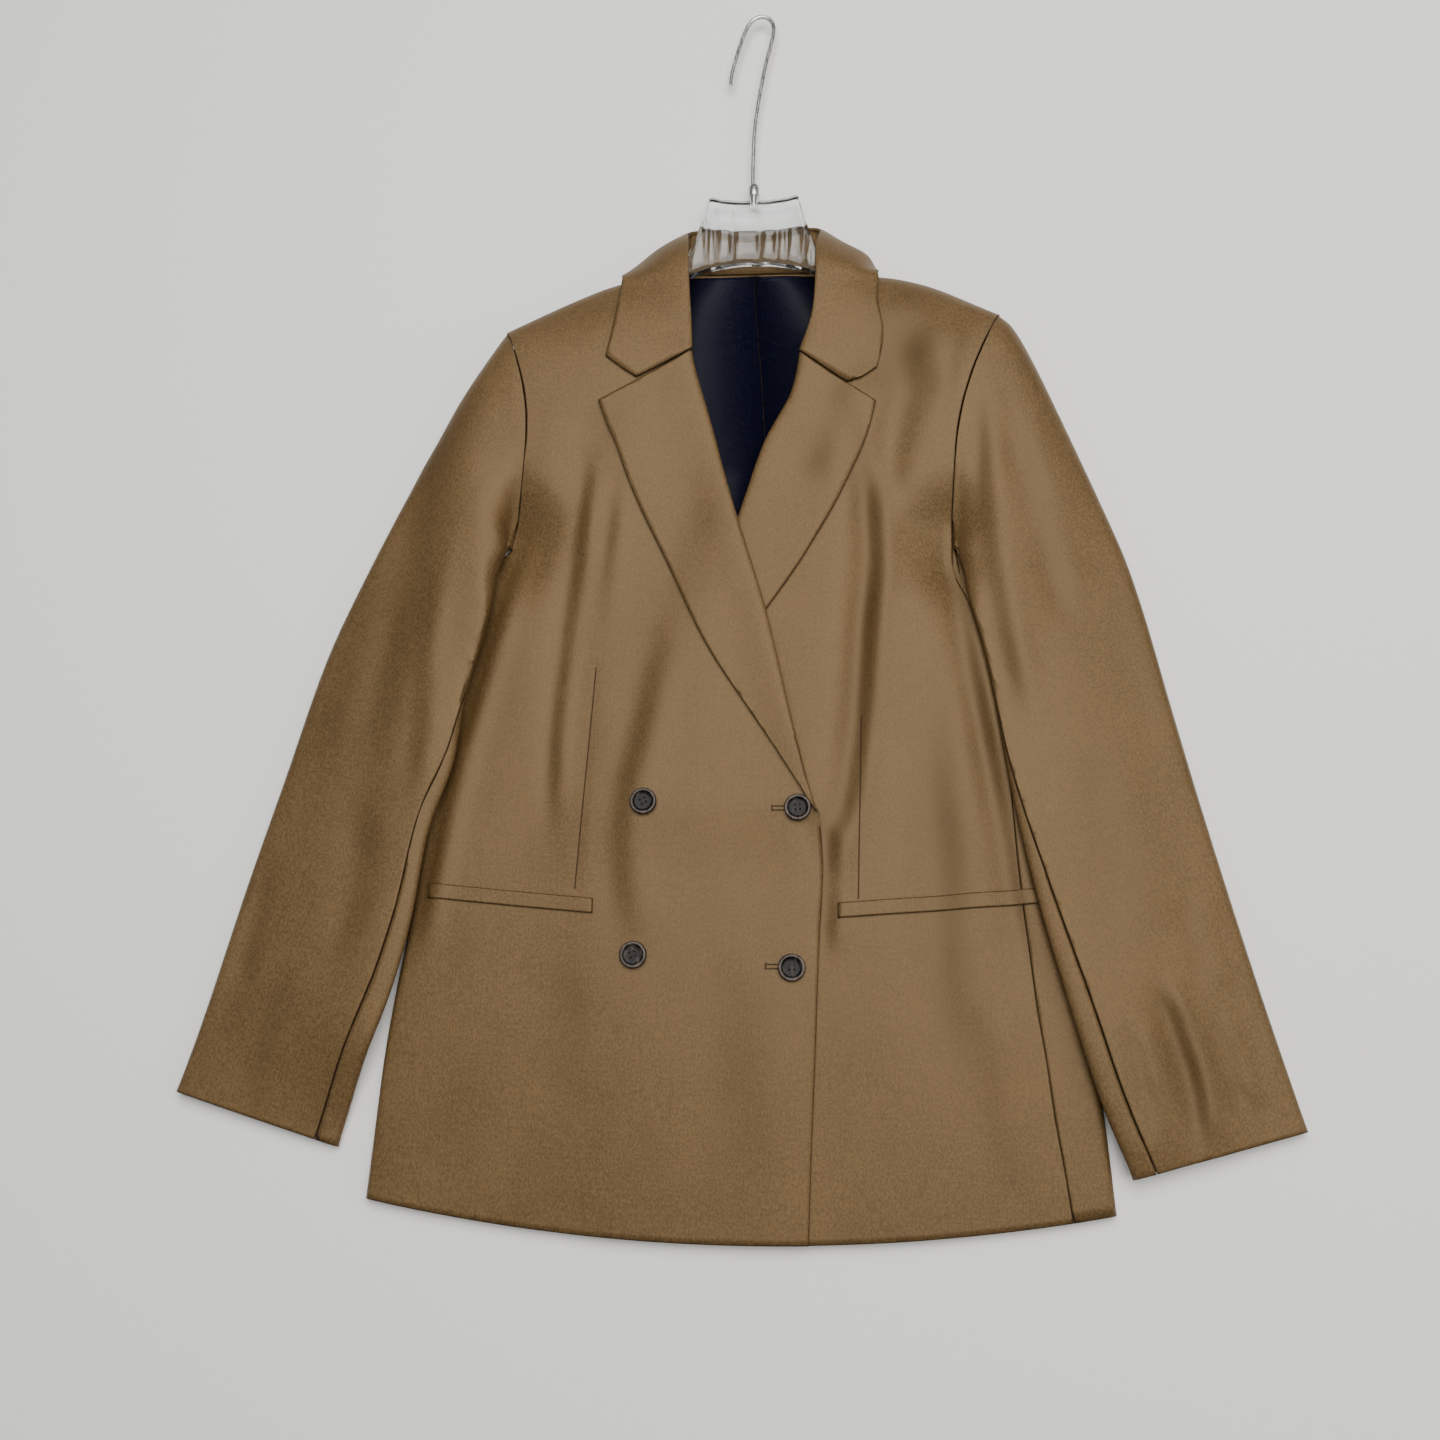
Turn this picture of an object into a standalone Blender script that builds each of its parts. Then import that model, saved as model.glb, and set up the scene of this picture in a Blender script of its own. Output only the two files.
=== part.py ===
"""Double breasted blazer laid flat on its back, with a clear coat hanger inside it.

The blazer lies on the plane z = 0 with its collar towards +Y and its front facing up.
Right and left are the wearer's: the wearer's right front is at -X and laps over the left.
Every piece of cloth is a closed wall. Tables are in millimetres, meshes in metres.
"""
import math

import bmesh
import bpy
import numpy as np
from mathutils import Matrix, Vector
from mathutils.bvhtree import BVHTree

for old in list(bpy.data.objects):
    bpy.data.objects.remove(old)

MM = 0.001
TURN_ANGLES = (0.0, 30.0, 60.0, 90.0)    # a rounded edge's rows

# ---------------------------------------------------------------- driving dimensions, mm
CLOTH = 1.6              # wool with its interlining
WELT_CLOTH = 1.0         # folded welt strip
LINING = 1.0
SEAM = 0.3               # distance kept between neighbouring pieces
LAP = CLOTH + 0.5        # rise of a piece that lies on another, to its upper face
SLEEVE_CLEARANCE = 3.4   # between the body and the sleeve that lies on it
SIDE = {"right": -1.0, "left": 1.0}

HEM_DIP = 25.0           # the hem hangs lower in the middle than at the sides
HEM_MIDDLE = -5.0
HEM_HALF = 262.0
HEM_LOW = -7.0
HEM_FADE = 190.0

BUTTON_RADIUS = 10.0
BUTTON_THICK = 3.4
BUTTON_PROFILE = ((7.8, 0.0), (9.7, 0.9), (10.0, 2.2), (9.2, 3.4), (7.8, 3.3), (6.7, 2.3))  # radius, height
BUTTON_HOLE = 0.95
BUTTON_HOLE_SPREAD = 1.9
BUTTONS = (("button_upper_right", -76.0, 303.0), ("button_upper_left", 38.0, 299.0),
           ("button_lower_right", -81.0, 191.0), ("button_lower_left", 34.0, 183.0))

WELT_HEIGHT = 11.0
WELTS = {"right": ((-236.0, 242.6), (-112.0, 232.0)), "left": ((67.0, 230.0), (218.0, 242.0))}

HOOK_Z = 11.3
HOOK_SIDES = 8
TUBE_SIDES = 16
HOOK_RADIUS = 1.85
FERRULE_RADIUS = 3.4
FERRULE_COLLAR_RADIUS = 4.6
FERRULE_START = 805.4
FERRULE_STEP = 816.0
FERRULE_END = 826.0

# ---------------------------------------------------------------- tables, mm
# Side edge of the body, from the hem to the underarm: x, y.
BODY_EDGE = {
    "right": ((-270, -10), (-269, 18), (-266, 63), (-262, 127), (-257, 165), (-250, 215), (-246, 260),
              (-243, 300), (-241, 350), (-240, 400), (-238, 440), (-232, 464), (-219, 484), (-201, 495),
              (-192, 501), (-190, 508)),
    "left": ((258, -10), (257, 17), (253, 70), (249, 110), (242, 150), (233, 200), (225, 250),
             (219, 300), (214, 350), (211, 400), (208, 436), (201, 460), (187, 478), (169, 489),
             (160, 496), (158, 503)),
}
# Height of the body's upper face: y, at the middle, on the flank, and twice the edge's radius.
BODY_HEIGHT = ((-20, 10.5, 10.5, 10.0), (60, 11.5, 11.5, 11.0), (125, 12.5, 13.0, 12.0),
               (215, 13.5, 14.5, 14.0), (295, 14.5, 16.0, 15.0), (400, 16.0, 19.0, 12.0),
               (470, 18.5, 23.0, 7.0), (508, 21.0, 26.0, 6.0), (560, 25.0, 32.0, 6.0),
               (610, 30.0, 37.5, 6.0), (650, 35.0, 41.0, 6.0), (690, 38.0, 42.0, 6.0),
               (760, 38.0, 40.0, 6.0), (860, 38.0, 40.0, 6.0))
FLANK = 150.0
EDGE_BLEND = 60.0        # width over which the body rises from its side edge
# Shoulder edge from the shoulder point to the neck point: x, y.
SHOULDER = {
    "right": ((-199, 689), (-157, 711), (-105, 737), (-78, 751)),
    "left": ((197, 695), (181, 703), (141, 724), (103, 738), (80, 750)),
}
SHOULDER_RADIUS = ((70, 14.0), (105, 15.0), (150, 18.0), (210, 20.0))   # |x|, radius
SHOULDER_BLEND = 48.0
# Visible armhole seam from the underarm up to the shoulder point: x, y.
ARMHOLE = {
    "right": ((-190, 508), (-185, 523), (-181, 539), (-177, 571), (-175, 595), (-177, 625),
              (-183, 651), (-191, 674), (-199, 689)),
    "left": ((158, 503), (156, 521), (157, 557), (159, 588), (165, 618), (172, 640),
             (179, 658), (189, 679), (197, 695)),
}
# The same seam on the underside.
UNDER_ARMHOLE = {
    "right": ((-190, 508), (-180, 516), (-170, 532), (-163, 560), (-162, 595), (-166, 630),
              (-178, 658), (-191, 676), (-199, 689)),
    "left": ((158, 503), (152, 514), (147, 532), (146, 560), (149, 595), (157, 630),
             (171, 660), (188, 680), (197, 695)),
}
# Free edge, roll line and neckline of each front, from the hem up: x, y.
FRONT_EDGE = {
    "right": ((46, -12), (47, 27), (49, 81), (51, 123), (53, 186), (56, 244), (57, 282), (54, 295),
              (49, 309), (38, 350), (14, 453), (-9, 528), (-29, 602), (-40, 637), (-45, 662),
              (-51, 690), (-61, 720), (-78, 751)),
    "left": ((-98, -12), (-97, 100), (-95, 240), (-95, 280), (-93, 296), (-88, 309), (-70, 360),
             (-40, 445), (-9, 530), (11, 589), (31, 625), (38, 659), (46, 690), (60, 722), (80, 750)),
}
# Side panel seam on the upper face of the left side: x, y.
SIDE_SEAM_LEFT = ((228, -12), (226, 14), (218, 68), (214, 110), (208, 150), (204, 190), (199, 235),
                  (195, 290), (193, 327), (187, 380), (177, 430), (163, 470), (153, 494), (151, 507),
                  (156.2, 519))
BACK_SEAM = {"right": ((-205, -12), (-196, 120), (-186, 250), (-180, 380), (-176, 470), (-171, 530)),
             "left": ((193, -12), (184, 120), (173, 250), (164, 380), (158, 470), (148, 530))}

# Lapel rows from the gorge down: roll x, y; outer edge x, y; height of the soft roll.
LAPELS = {
    "right": ((-45, 661, -119, 620, 3.4), (-43, 650, -113, 603, 3.4), (-38, 632, -105, 586, 3.4),
              (-29, 602, -96, 560, 3.4), (-18, 560, -80, 524, 3.2), (-9, 528, -64, 492, 3.0),
              (3, 490, -49, 459, 2.8), (14, 453, -34, 428, 2.6), (25, 407, -16, 399, 2.4),
              (34, 367, 5, 368, 2.2), (42, 335, 23, 341, 1.9), (49, 309, 41.5, 313, 1.5),
              (51, 304.5, 46.5, 307, 1.0)),
    "left": ((38, 658, 98, 616, 3.4), (36, 645, 95, 603, 3.4), (31, 625, 90, 587, 3.4),
             (21, 607, 82, 568, 3.2), (11, 589, 69, 541, 3.0), (0, 557, 54, 515, 2.4),
             (-9, 530, 39, 490, 1.0), (-22, 494, 14, 454, 0.6), (-40, 445, -14, 413, 0.5),
             (-58, 395, -42, 373, 0.5), (-73, 352, -64, 340, 0.5), (-86, 314, -80, 311, 0.5)),
}
GORGE = {"right": (-91, 637), "left": (79, 629)}
COLLAR_CORNER = {"right": (-114, 657), "left": (99, 645)}
# Collar stations from the front round to the back: crest of the fold x, y, z; a point that pulls
# the fall outward x, y, z; edge x, y, z; foot of the stand x, y, z. On the front the heights of
# the pull, edge and foot are 0, and follow the front.
# A foot's y of 0 means that it is on the back's neckline.
COLLAR_FRONT_STATIONS = 2
COLLAR = (
    (47.5, 690, 41.5, 0, 0, 0, 109, 688, 0, 0, 690, 0),
    (50.0, 723, 42.0, 0, 0, 0, 106, 720, 0, 0, 722, 0),
    (51.0, 745, 41.0, 86, 746, 39, 107, 735, 33, 71, 743, 29),
    (52.0, 762, 34.0, 88, 768, 26, 110, 745, 16, 75.5, 753, 16.5),
    (54.0, 775, 23.0, 84, 776, 8, 104, 748, 4, 72, 0, 5.6),
    (53.0, 785, 11.5, 74, 779, 0.2, 90, 741, 0.3, 62, 0, 3.9),
    (46.0, 790, 5.0, 58, 779, 0.2, 70, 737, 0.3, 50, 0, 3.6),
    (30.0, 790.5, 2.4, 33, 777, 0.2, 42, 735, 0.3, 30, 0, 3.5),
    (0.0, 790, 2.2, 0, 776, 0.2, 0, 734, 0.3, 0, 0, 3.5),
)
COLLAR_SHIFT = 1.0       # the collar's middle lies a little to the wearer's left
FOLD_HALF = 2.05         # half the thickness of a fold of two layers

# Sleeve rows from the armhole to the cuff: outer x, y; inner x, y; outer radius; inner radius;
# crown above the straight line between the edges.
SLEEVE = {
    "right": ((-199, 689, -190, 508, 20.0, 3.0, 0.0), (-203, 684, -193, 508, 20.0, 2.6, 0.5),
              (-209, 674, -196.5, 505, 19.0, 2.6, 1.5), (-220, 657, -197, 470, 18.0, 4.0, 3.0),
              (-236, 630, -203, 430, 16.0, 4.5, 4.5), (-256, 590, -214, 389, 13.5, 4.2, 5.0),
              (-278, 543, -217, 362, 11.5, 4.0, 4.5), (-303, 487, -221, 326, 9.7, 4.0, 4.0),
              (-329, 422, -236, 284, 8.5, 4.0, 3.5), (-353, 330, -243, 222, 7.5, 4.0, 3.0),
              (-376, 245, -256, 163, 7.0, 4.5, 2.5), (-393, 175, -268, 128, 6.5, 5.0, 2.0),
              (-406, 124, -281, 92, 6.2, 5.0, 1.5), (-416, 90, -292, 53, 6.0, 5.0, 1.0)),
    "left": ((197, 695, 158, 503, 20.0, 3.0, 0.0), (203, 691, 161, 503.3, 20.0, 2.6, 0.5),
             (210, 682, 164.5, 500, 19.0, 2.6, 1.5), (220, 661, 164.5, 468, 17.5, 4.0, 3.0),
             (236, 623, 174, 430, 15.5, 4.5, 4.5), (255, 576, 182, 389, 13.0, 4.2, 5.0),
             (271, 535, 187, 352, 11.0, 4.0, 4.5), (288, 490, 191, 322, 9.7, 4.0, 4.0),
             (309, 400, 200, 272, 8.5, 4.0, 3.5), (327, 320, 211, 222, 7.5, 4.0, 3.0),
             (345, 245, 226, 165, 7.0, 4.5, 2.5), (362, 177, 241, 110, 6.5, 5.0, 2.0),
             (376, 124, 254, 72, 6.2, 5.0, 1.5), (389, 76, 267, 42, 6.0, 5.0, 1.0)),
}
# Forearm seam on the upper face: share of the sleeve's rows, distance from the inner edge.
FOREARM_SEAM = {
    "right": ((0.0, -15), (0.24, -14), (0.34, -4), (0.42, 4), (0.52, 13), (0.65, 17), (0.8, 20), (1.0, 20)),
    "left": ((0.0, -15), (0.24, -14), (0.34, -4), (0.42, 3), (0.52, 6), (0.65, 14), (0.8, 20), (1.0, 19)),
}
SLEEVE_HEAD = 110.0      # length over which the sleeve's outer side leaves the armhole's shape
SLEEVE_PIT = 2.0         # the same at the underarm
PIT_GAP = 2.6            # the sleeve keeps this far from the body at the underarm
PIT_REACH = 16.0
HIND_SEAM = 14.0         # hind seam's distance from the outer edge, on the underside
REST_RAMP = 24.0         # width over which a sleeve climbs from the floor onto the body
REST_LEAD = 5.0          # it is up this far before it reaches the body's edge

# Folds of the upper face: start x, y; middle x, y; end x, y; half width; depth.
BODY_FOLDS = (
    (-124, 600, -140, 500, -138, 470, 22, 3.0), (-138, 480, -146, 360, -146, 250, 20, 3.0),
    (119, 670, 122, 630, 104, 560, 20, 4.0), (104, 590, 94, 450, 88, 350, 20, 4.0),
    (90, 360, 84, 290, 78, 240, 16, 3.0), (158, 440, 146, 330, 150, 240, 22, 2.5),
    (150, 230, 156, 150, 150, 90, 22, 1.5),
)
SLEEVE_FOLDS = {
    "right": ((-214, 640, -252, 520, -272, 440, 26, 4.0), (-262, 400, -278, 320, -290, 230, 20, 3.0),
              (-350, 250, -366, 190, -384, 140, 18, 2.0)),
    "left": ((196, 590, 214, 540, 240, 450, 22, 2.5), (300, 150, 306, 100, 304, 50, 14, 2.5),
             (342, 150, 350, 110, 356, 90, 14, 2.0)),
}
# Half of the back lining: y, distance of its side edge from the middle.
LINING_SIDE = ((18, 232), (120, 215), (250, 200), (380, 190), (470, 170), (520, 136), (600, 138),
               (650, 140), (680, 128), (705, 104), (725, 78), (740, 60), (746.5, 54))
LINING_SEAM = ((18, 5), (300, 13), (500, 13), (600, 11), (661, 7), (741, 1), (746.5, 1))
BACK_RAISE = 2.1         # the back rises over the collar that lies under it
RAISE_FROM = 676.0
RAISE_WIDTH = 26.0
RAISE_HALF = 128.0
RAISE_FADE = 10.0

HANGER_BOTTOM = 5.3
# Half of the hanger seen from the front: |x|, lower y, upper y, upper face z.
HANGER = ((0, 754, 811.0, 17.3), (14, 753.6, 811.2, 17.3), (28, 751.5, 812.0, 17.3),
          (37, 749.5, 813.0, 17.3), (39.5, 749, 803, 17.3), (42, 748, 792, 17.3), (46, 746.5, 781, 17.3),
          (51, 744.5, 766, 17.3), (57, 742, 757, 17.5), (66, 735, 746, 18.0), (80, 724, 737, 18.5),
          (100, 708, 725, 19.5), (125, 689, 712, 21.0), (150, 672, 699, 22.5), (168, 662, 688, 22.5),
          (176, 660, 682, 21.0), (180, 665, 676, 17.0))

HOOK_PATH = ((-1, 826.4), (-1, 848), (0, 880), (4, 914), (9, 944), (13.5, 965), (15.5, 978), (13, 987),
             (6, 991.5), (-2, 989), (-7.5, 981), (-12, 968), (-16.5, 951), (-20, 935), (-21, 924))

COLOURS = {
    "wool": (0.235, 0.150, 0.078), "wool_under": (0.205, 0.130, 0.067), "lining": (0.010, 0.012, 0.032),
    "horn": (0.050, 0.035, 0.028), "acrylic": (0.86, 0.89, 0.90), "steel": (0.62, 0.61, 0.59),
}
FINISH = {"wool": (0.78, 0.0), "wool_under": (0.8, 0.0), "lining": (0.5, 0.0), "horn": (0.35, 0.0),
          "acrylic": (0.06, 0.0), "steel": (0.28, 1.0)}

# Rows of the mesh grids: y of the rows below the arms, and shares of the armhole above them.
FRONT_ROWS = (0, 35, 75, 115, 155, 195, 230, 262, 296, 308, 330, 362, 395, 430, 460, 485)
ARMHOLE_SHARES = (0.06, 0.14, 0.26, 0.38, 0.5, 0.62, 0.74, 0.86)
FRONT_COLUMNS = 11
FRONT_STEP = 8.0
SHOULDER_STEP = 3.0
CORNER_GAP = 5.0         # the next armhole point is this far above a panel's corner
CORNER_Y = 502.0
BACK_TOP_Y = 728.0
TIP_POWER = 6            # how quickly the shoulder's rows turn into the armhole
SAME_PLACE = 0.02
PULL_SHARE = 0.4         # a piece's edge is drawn back by no more than this share of its first step
FRONT_INSET = 4.8        # a front ends this far short of its roll line, where the lapel goes on
INSET_FADE = (690.0, 40.0)
SIDE_COLUMNS = 3
STRIP_COLUMNS = 3
BACK_COLUMNS = 7
NECK_SHARES = (0.1, 0.2, 0.5, 1.0)
STAND_GAP = 1.2
STAND_TOP = 0.9          # the stand ends this far below the fold
SLEEVE_SEAM = 0.4
COLLAR_LOWEST = 0.1
COLLAR_CATCH = 6.0       # a collar point no lower than this under the front's rest is lifted onto it
ROLL_STEP = 2.2
REST_REACH = 6.0
NECK_STEP = 3.0
NECK_CURVE = 1.6
BACK_NECK_Y = 748.0
LINING_ROWS = (18, 70, 120, 190, 280, 380, 470, 520, 580, 640, 680, 705, 725, 740, 746)
LINING_COLUMNS = 4
OVER_COLUMNS = 15
UNDER_COLUMNS = 9
OVERLAP_RISE = CLOTH + 0.7
LAPEL_RISE = LAP + 1.3   # further rise over the left lapel
OVERLAP_FADE = 34.0
LAPEL_OVERHANG = 3.0     # the lapel turns back this far beyond the front's edge
LAPEL_BREAK = 296.0
BREAK_FADE = 12.0
LAPEL_FROM = 262.0
LAPEL_COLUMNS = 5
ROLL_WIDTH = 22.0
WELT_COLUMNS = 12
WELT_REACH = 3.0
REST_GAP = 0.4
RAY_TOP = 200.0
STAND_COLUMNS = 2
BUTTON_SIDES = 16
BUTTON_HOLE_SIDES = 6
HANGER_SIDES = 10
CLIMB_Y = (516.0, 722.0) # a front's rows beside the armhole end here on its free edge
GORGE_OFFSET = 1.2
SQUARENESS = 0.45


# ---------------------------------------------------------------- curves and blends
def ease(t):
    """Smooth step from 0 to 1."""
    t = min(max(t, 0.0), 1.0)
    return t * t * (3.0 - 2.0 * t)


def mix(a, b, t):
    return a + (b - a) * t


def unit(v):
    return v / max(np.linalg.norm(v), 1e-9)


def spline(table, per_span=8):
    """Dense points of a smooth curve through the table's rows, spaced by their first two columns."""
    rows = np.array(table, float)
    padded = np.vstack([2 * rows[0] - rows[1], rows, 2 * rows[-1] - rows[-2]])
    dense = []
    for a, b, c, d in zip(padded[:-3], padded[1:-2], padded[2:-1], padded[3:]):
        before, span, after = [max(np.linalg.norm(step[:2]), 1e-6) for step in (b - a, c - b, d - c)]
        start = (c - b) + span * ((b - a) / before - (c - a) / (before + span))
        end = (c - b) + span * ((d - c) / after - (d - b) / (span + after))
        for t in np.arange(per_span) / per_span:
            dense.append((2 * t**3 - 3 * t**2 + 1) * b + (t**3 - 2 * t**2 + t) * start
                         + (3 * t**2 - 2 * t**3) * c + (t**3 - t**2) * end)
    dense.append(rows[-1])
    return np.array(dense)


def read(dense, at):
    """Every further column of dense rows, at a value of their first column."""
    return [float(np.interp(at, dense[:, 0], values)) for values in dense[:, 1:].T]


class Line:
    """A smooth plan line through the first two columns of a table, and its other columns."""

    def __init__(self, table):
        self.points = spline(table)
        steps = np.linalg.norm(np.diff(self.points[:, :2], axis=0), axis=1)
        self.run = np.concatenate([[0.0], np.cumsum(steps)])
        self.length = self.run[-1]

    def at(self, share):
        where = share * self.length
        return np.array([np.interp(where, self.run, values) for values in self.points.T])

    def x_at(self, y):
        return float(np.interp(y, self.points[:, 1], self.points[:, 0]))

    def share_at(self, y):
        return float(np.interp(y, self.points[:, 1], self.run)) / self.length

    def nearest(self, x, y):
        """Distance, unit normal to the line's left, and whether the point lies on that side."""
        start = self.points[:-1, :2]
        along = np.diff(self.points[:, :2], axis=0)
        offset = np.array([x, y]) - start
        t = np.clip((offset * along).sum(1) / (along * along).sum(1), 0.0, 1.0)
        gap = offset - along * t[:, None]
        distance = np.hypot(gap[:, 0], gap[:, 1])
        i = int(distance.argmin())
        left = np.array([-along[i, 1], along[i, 0]]) / np.hypot(*along[i])
        return float(distance[i]), left, float(left @ offset[i]) > 0.0


def lines(tables):
    return {side: Line(table) for side, table in tables.items()}


EDGE = lines(BODY_EDGE)
SHOULDER_LINE = lines(SHOULDER)
SCYE = lines(ARMHOLE)
UNDER_SCYE = lines(UNDER_ARMHOLE)
FRONT_LINE = lines(FRONT_EDGE)
BACK_LINE = lines(BACK_SEAM)
SIDE_LINE = Line(SIDE_SEAM_LEFT)
HEIGHTS = spline(BODY_HEIGHT)
RADII = np.array(SHOULDER_RADIUS, float)
BODY_FOLD_LINES = [(Line((row[0:2], row[2:4], row[4:6])), row[6], row[7]) for row in BODY_FOLDS]
SLEEVE_FOLD_LINES = {side: [(Line((row[0:2], row[2:4], row[4:6])), row[6], row[7]) for row in table]
                     for side, table in SLEEVE_FOLDS.items()}


def side_of(x):
    return "right" if x < 0.0 else "left"


def fold_depth(folds, x, y):
    """How far soft troughs lower the cloth at a plan point."""
    depth = 0.0
    for line, half_width, deep in folds:
        share = line.nearest(x, y)[0] / half_width
        if share < 1.0:
            depth += deep * (1.0 - share**2) ** 2
    return depth


# ---------------------------------------------------------------- the body's two faces
def turn(distance, radius):
    """Drop of a rounded edge, and the sine and cosine of the wall's lean, at a distance inside it."""
    across = min(max((radius - distance) / radius, 0.0), 1.0)
    sine = math.sqrt(1.0 - across**2)
    return radius * (1.0 - sine), sine, across


def edges_near(x, y):
    """Rounded edges at a plan point: distance, radius and inward direction of each."""
    side = side_of(x)
    found = []
    radii = read(HEIGHTS, y)[2] / 2, read(RADII, abs(x))[0]
    for line, radius in zip((EDGE[side], SHOULDER_LINE[side]), radii):
        distance, left, _ = line.nearest(x, y)
        found.append((distance, radius, left * SIDE[side]))
    return found


def open_height(x, y):
    """Height of the body's upper face before its edges are rounded."""
    middle, flank, edge = read(HEIGHTS, y)
    height = mix(middle, flank, ease(abs(x) / FLANK))
    (side_distance, _, _), (shoulder_distance, radius, _) = edges_near(x, y)
    height = mix(edge, height, ease(side_distance / EDGE_BLEND))
    height = mix(2 * radius, height, ease(shoulder_distance / SHOULDER_BLEND))
    return height - fold_depth(BODY_FOLD_LINES, x, y)


def face(x, y, upper):
    """Point of the body's upper or lower face, and the unit direction into its wall."""
    height = open_height(x, y) if upper else back_raise(x, y)
    into = np.zeros(3)
    level = 1.0
    for distance, radius, inward in edges_near(x, y):
        drop, sine, cosine = turn(distance, radius)
        height += -drop if upper else drop
        into[:2] += inward * cosine
        level = min(level, sine)
    into[2] = -level if upper else level
    return np.array([x, y, height]), unit(into)


def back_raise(x, y):
    """Rise of the back over the collar under it, which fades out at the shoulder."""
    raised = BACK_RAISE * ease((y - RAISE_FROM) / RAISE_WIDTH) * ease((RAISE_HALF - abs(x)) / RAISE_FADE)
    return raised * ease(edges_near(x, y)[1][0] / read(RADII, abs(x))[0])


def hem_shift(x, y):
    """The hem's curve, which fades up the body."""
    curve = HEM_LOW + HEM_DIP * ((x - HEM_MIDDLE) / HEM_HALF) ** 2
    return curve * (1.0 - ease(y / HEM_FADE))


def overlap_rise(x, y):
    """Rise of the right front over the left front and its lapel."""
    distance, _, on_left = FRONT_LINE["left"].nearest(x, y)
    rise = OVERLAP_RISE + LAPEL_RISE * ease((y - LAPEL_FROM) / OVERLAP_FADE)
    inside = distance if not on_left else -distance
    return rise * ease((inside + OVERLAP_FADE) / OVERLAP_FADE)


def front_height(side, x, y):
    height = face(x, y, True)[0][2]
    return height + (overlap_rise(x, y) if side == "right" else 0.0)


# ---------------------------------------------------------------- making solids
def material(name, finish):
    made = bpy.data.materials.new(name)
    made.use_nodes = True
    shader = made.node_tree.nodes["Principled BSDF"]
    shader.inputs["Base Color"].default_value = (*COLOURS[finish], 1.0)
    shader.inputs["Roughness"].default_value = FINISH[finish][0]
    shader.inputs["Metallic"].default_value = FINISH[finish][1]
    if finish == "acrylic":
        shader.inputs["Transmission Weight"].default_value = 1.0
    return made


def solid(name, points, faces, finish):
    """A closed body from points in millimetres."""
    mesh = bpy.data.meshes.new(name)
    mesh.from_pydata([Vector(p) * MM for p in points], [], faces)
    work = bmesh.new()
    work.from_mesh(mesh)
    bmesh.ops.recalc_face_normals(work, faces=work.faces)
    work.to_mesh(mesh)
    work.free()
    mesh.shade_smooth()
    mesh.set_sharp_from_angle(angle=math.radians(50.0))
    mesh.materials.append(material(name, finish))
    made = bpy.data.objects.new(name, mesh)
    bpy.context.scene.collection.objects.link(made)
    return made


def wall(name, outer, inward, thickness, finish):
    """A wall between a grid of outer points and the same grid moved inward."""
    outer = np.array(outer, float)
    inner = outer + np.array(inward, float) * thickness
    rows, columns = outer.shape[:2]
    points = [*outer.reshape(-1, 3), *inner.reshape(-1, 3)]
    step = rows * columns

    def at(i, j):
        return i * columns + j

    faces = []
    for i in range(rows - 1):
        for j in range(columns - 1):
            a, b, c, d = at(i, j), at(i, j + 1), at(i + 1, j + 1), at(i + 1, j)
            if np.linalg.norm(points[a] - points[c]) > np.linalg.norm(points[b] - points[d]):
                a, b, c, d = b, c, d, a
            for triangle in ((a, b, c), (a, c, d)):
                faces.append(triangle)
                faces.append(tuple(step + k for k in reversed(triangle)))
    rim = [at(0, j) for j in range(columns)] + [at(i, columns - 1) for i in range(1, rows)]
    rim += [at(rows - 1, j) for j in range(columns - 2, -1, -1)] + [at(i, 0) for i in range(rows - 2, 0, -1)]
    for a, b in zip(rim, rim[1:] + rim[:1]):
        faces.append((b, a, step + a, step + b))
    return solid(name, points, faces, finish)


def rings(name, loops, finish):
    """A closed body through rings of equal point counts, with flat ends."""
    count = len(loops[0])
    points = [p for loop in loops for p in loop]
    faces = [tuple(range(count))[::-1], tuple(range(len(points) - count, len(points)))]
    for i in range(len(loops) - 1):
        for j in range(count):
            k = (j + 1) % count
            faces.append((i * count + j, i * count + k, (i + 1) * count + k, (i + 1) * count + j))
    return solid(name, points, faces, finish)


def pull_in(grid, rows, columns, half=SEAM / 2):
    """Draw a grid's first and last rows and columns back, where rows and columns say so."""
    grid = np.array(grid, float)
    done = grid.copy()
    for side, chosen in ((0, rows[0]), (-1, rows[1])):
        if chosen:
            next_row = 1 if side == 0 else -2
            for j in range(grid.shape[1]):
                step = grid[next_row, j] - grid[side, j]
                done[side, j] += unit(step) * min(half, PULL_SHARE * np.linalg.norm(step))
    for side, chosen in ((0, columns[0]), (-1, columns[1])):
        if chosen:
            next_column = 1 if side == 0 else -2
            for i in range(grid.shape[0]):
                step = grid[i, next_column] - grid[i, side]
                done[i, side] += unit(step) * min(half, PULL_SHARE * np.linalg.norm(step))
    return done


def grid_normals(grid):
    """Unit normals of a grid: along its rows' order, crossed with along each row."""
    grid = np.array(grid, float)
    down = np.gradient(grid, axis=0)
    across = np.gradient(grid, axis=1)
    normals = np.cross(down, across)
    return normals / np.maximum(np.linalg.norm(normals, axis=2, keepdims=True), 1e-9)


# ---------------------------------------------------------------- fronts, side panels and back
def turn_steps(radius):
    return [radius * (1.0 - math.cos(math.radians(angle))) for angle in TURN_ANGLES]


def armhole_points(line):
    """Plan points from the underarm to the shoulder point, close together on the rounded edges."""
    pit = read(HEIGHTS, line.points[0, 1])[2] / 2
    tip = RADII[-1, 1]
    runs = turn_steps(pit) + [mix(pit, line.length - tip, share) for share in ARMHOLE_SHARES]
    runs += [line.length - step for step in reversed(turn_steps(tip))]
    return [line.at(run / line.length)[:2] for run in runs]


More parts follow.
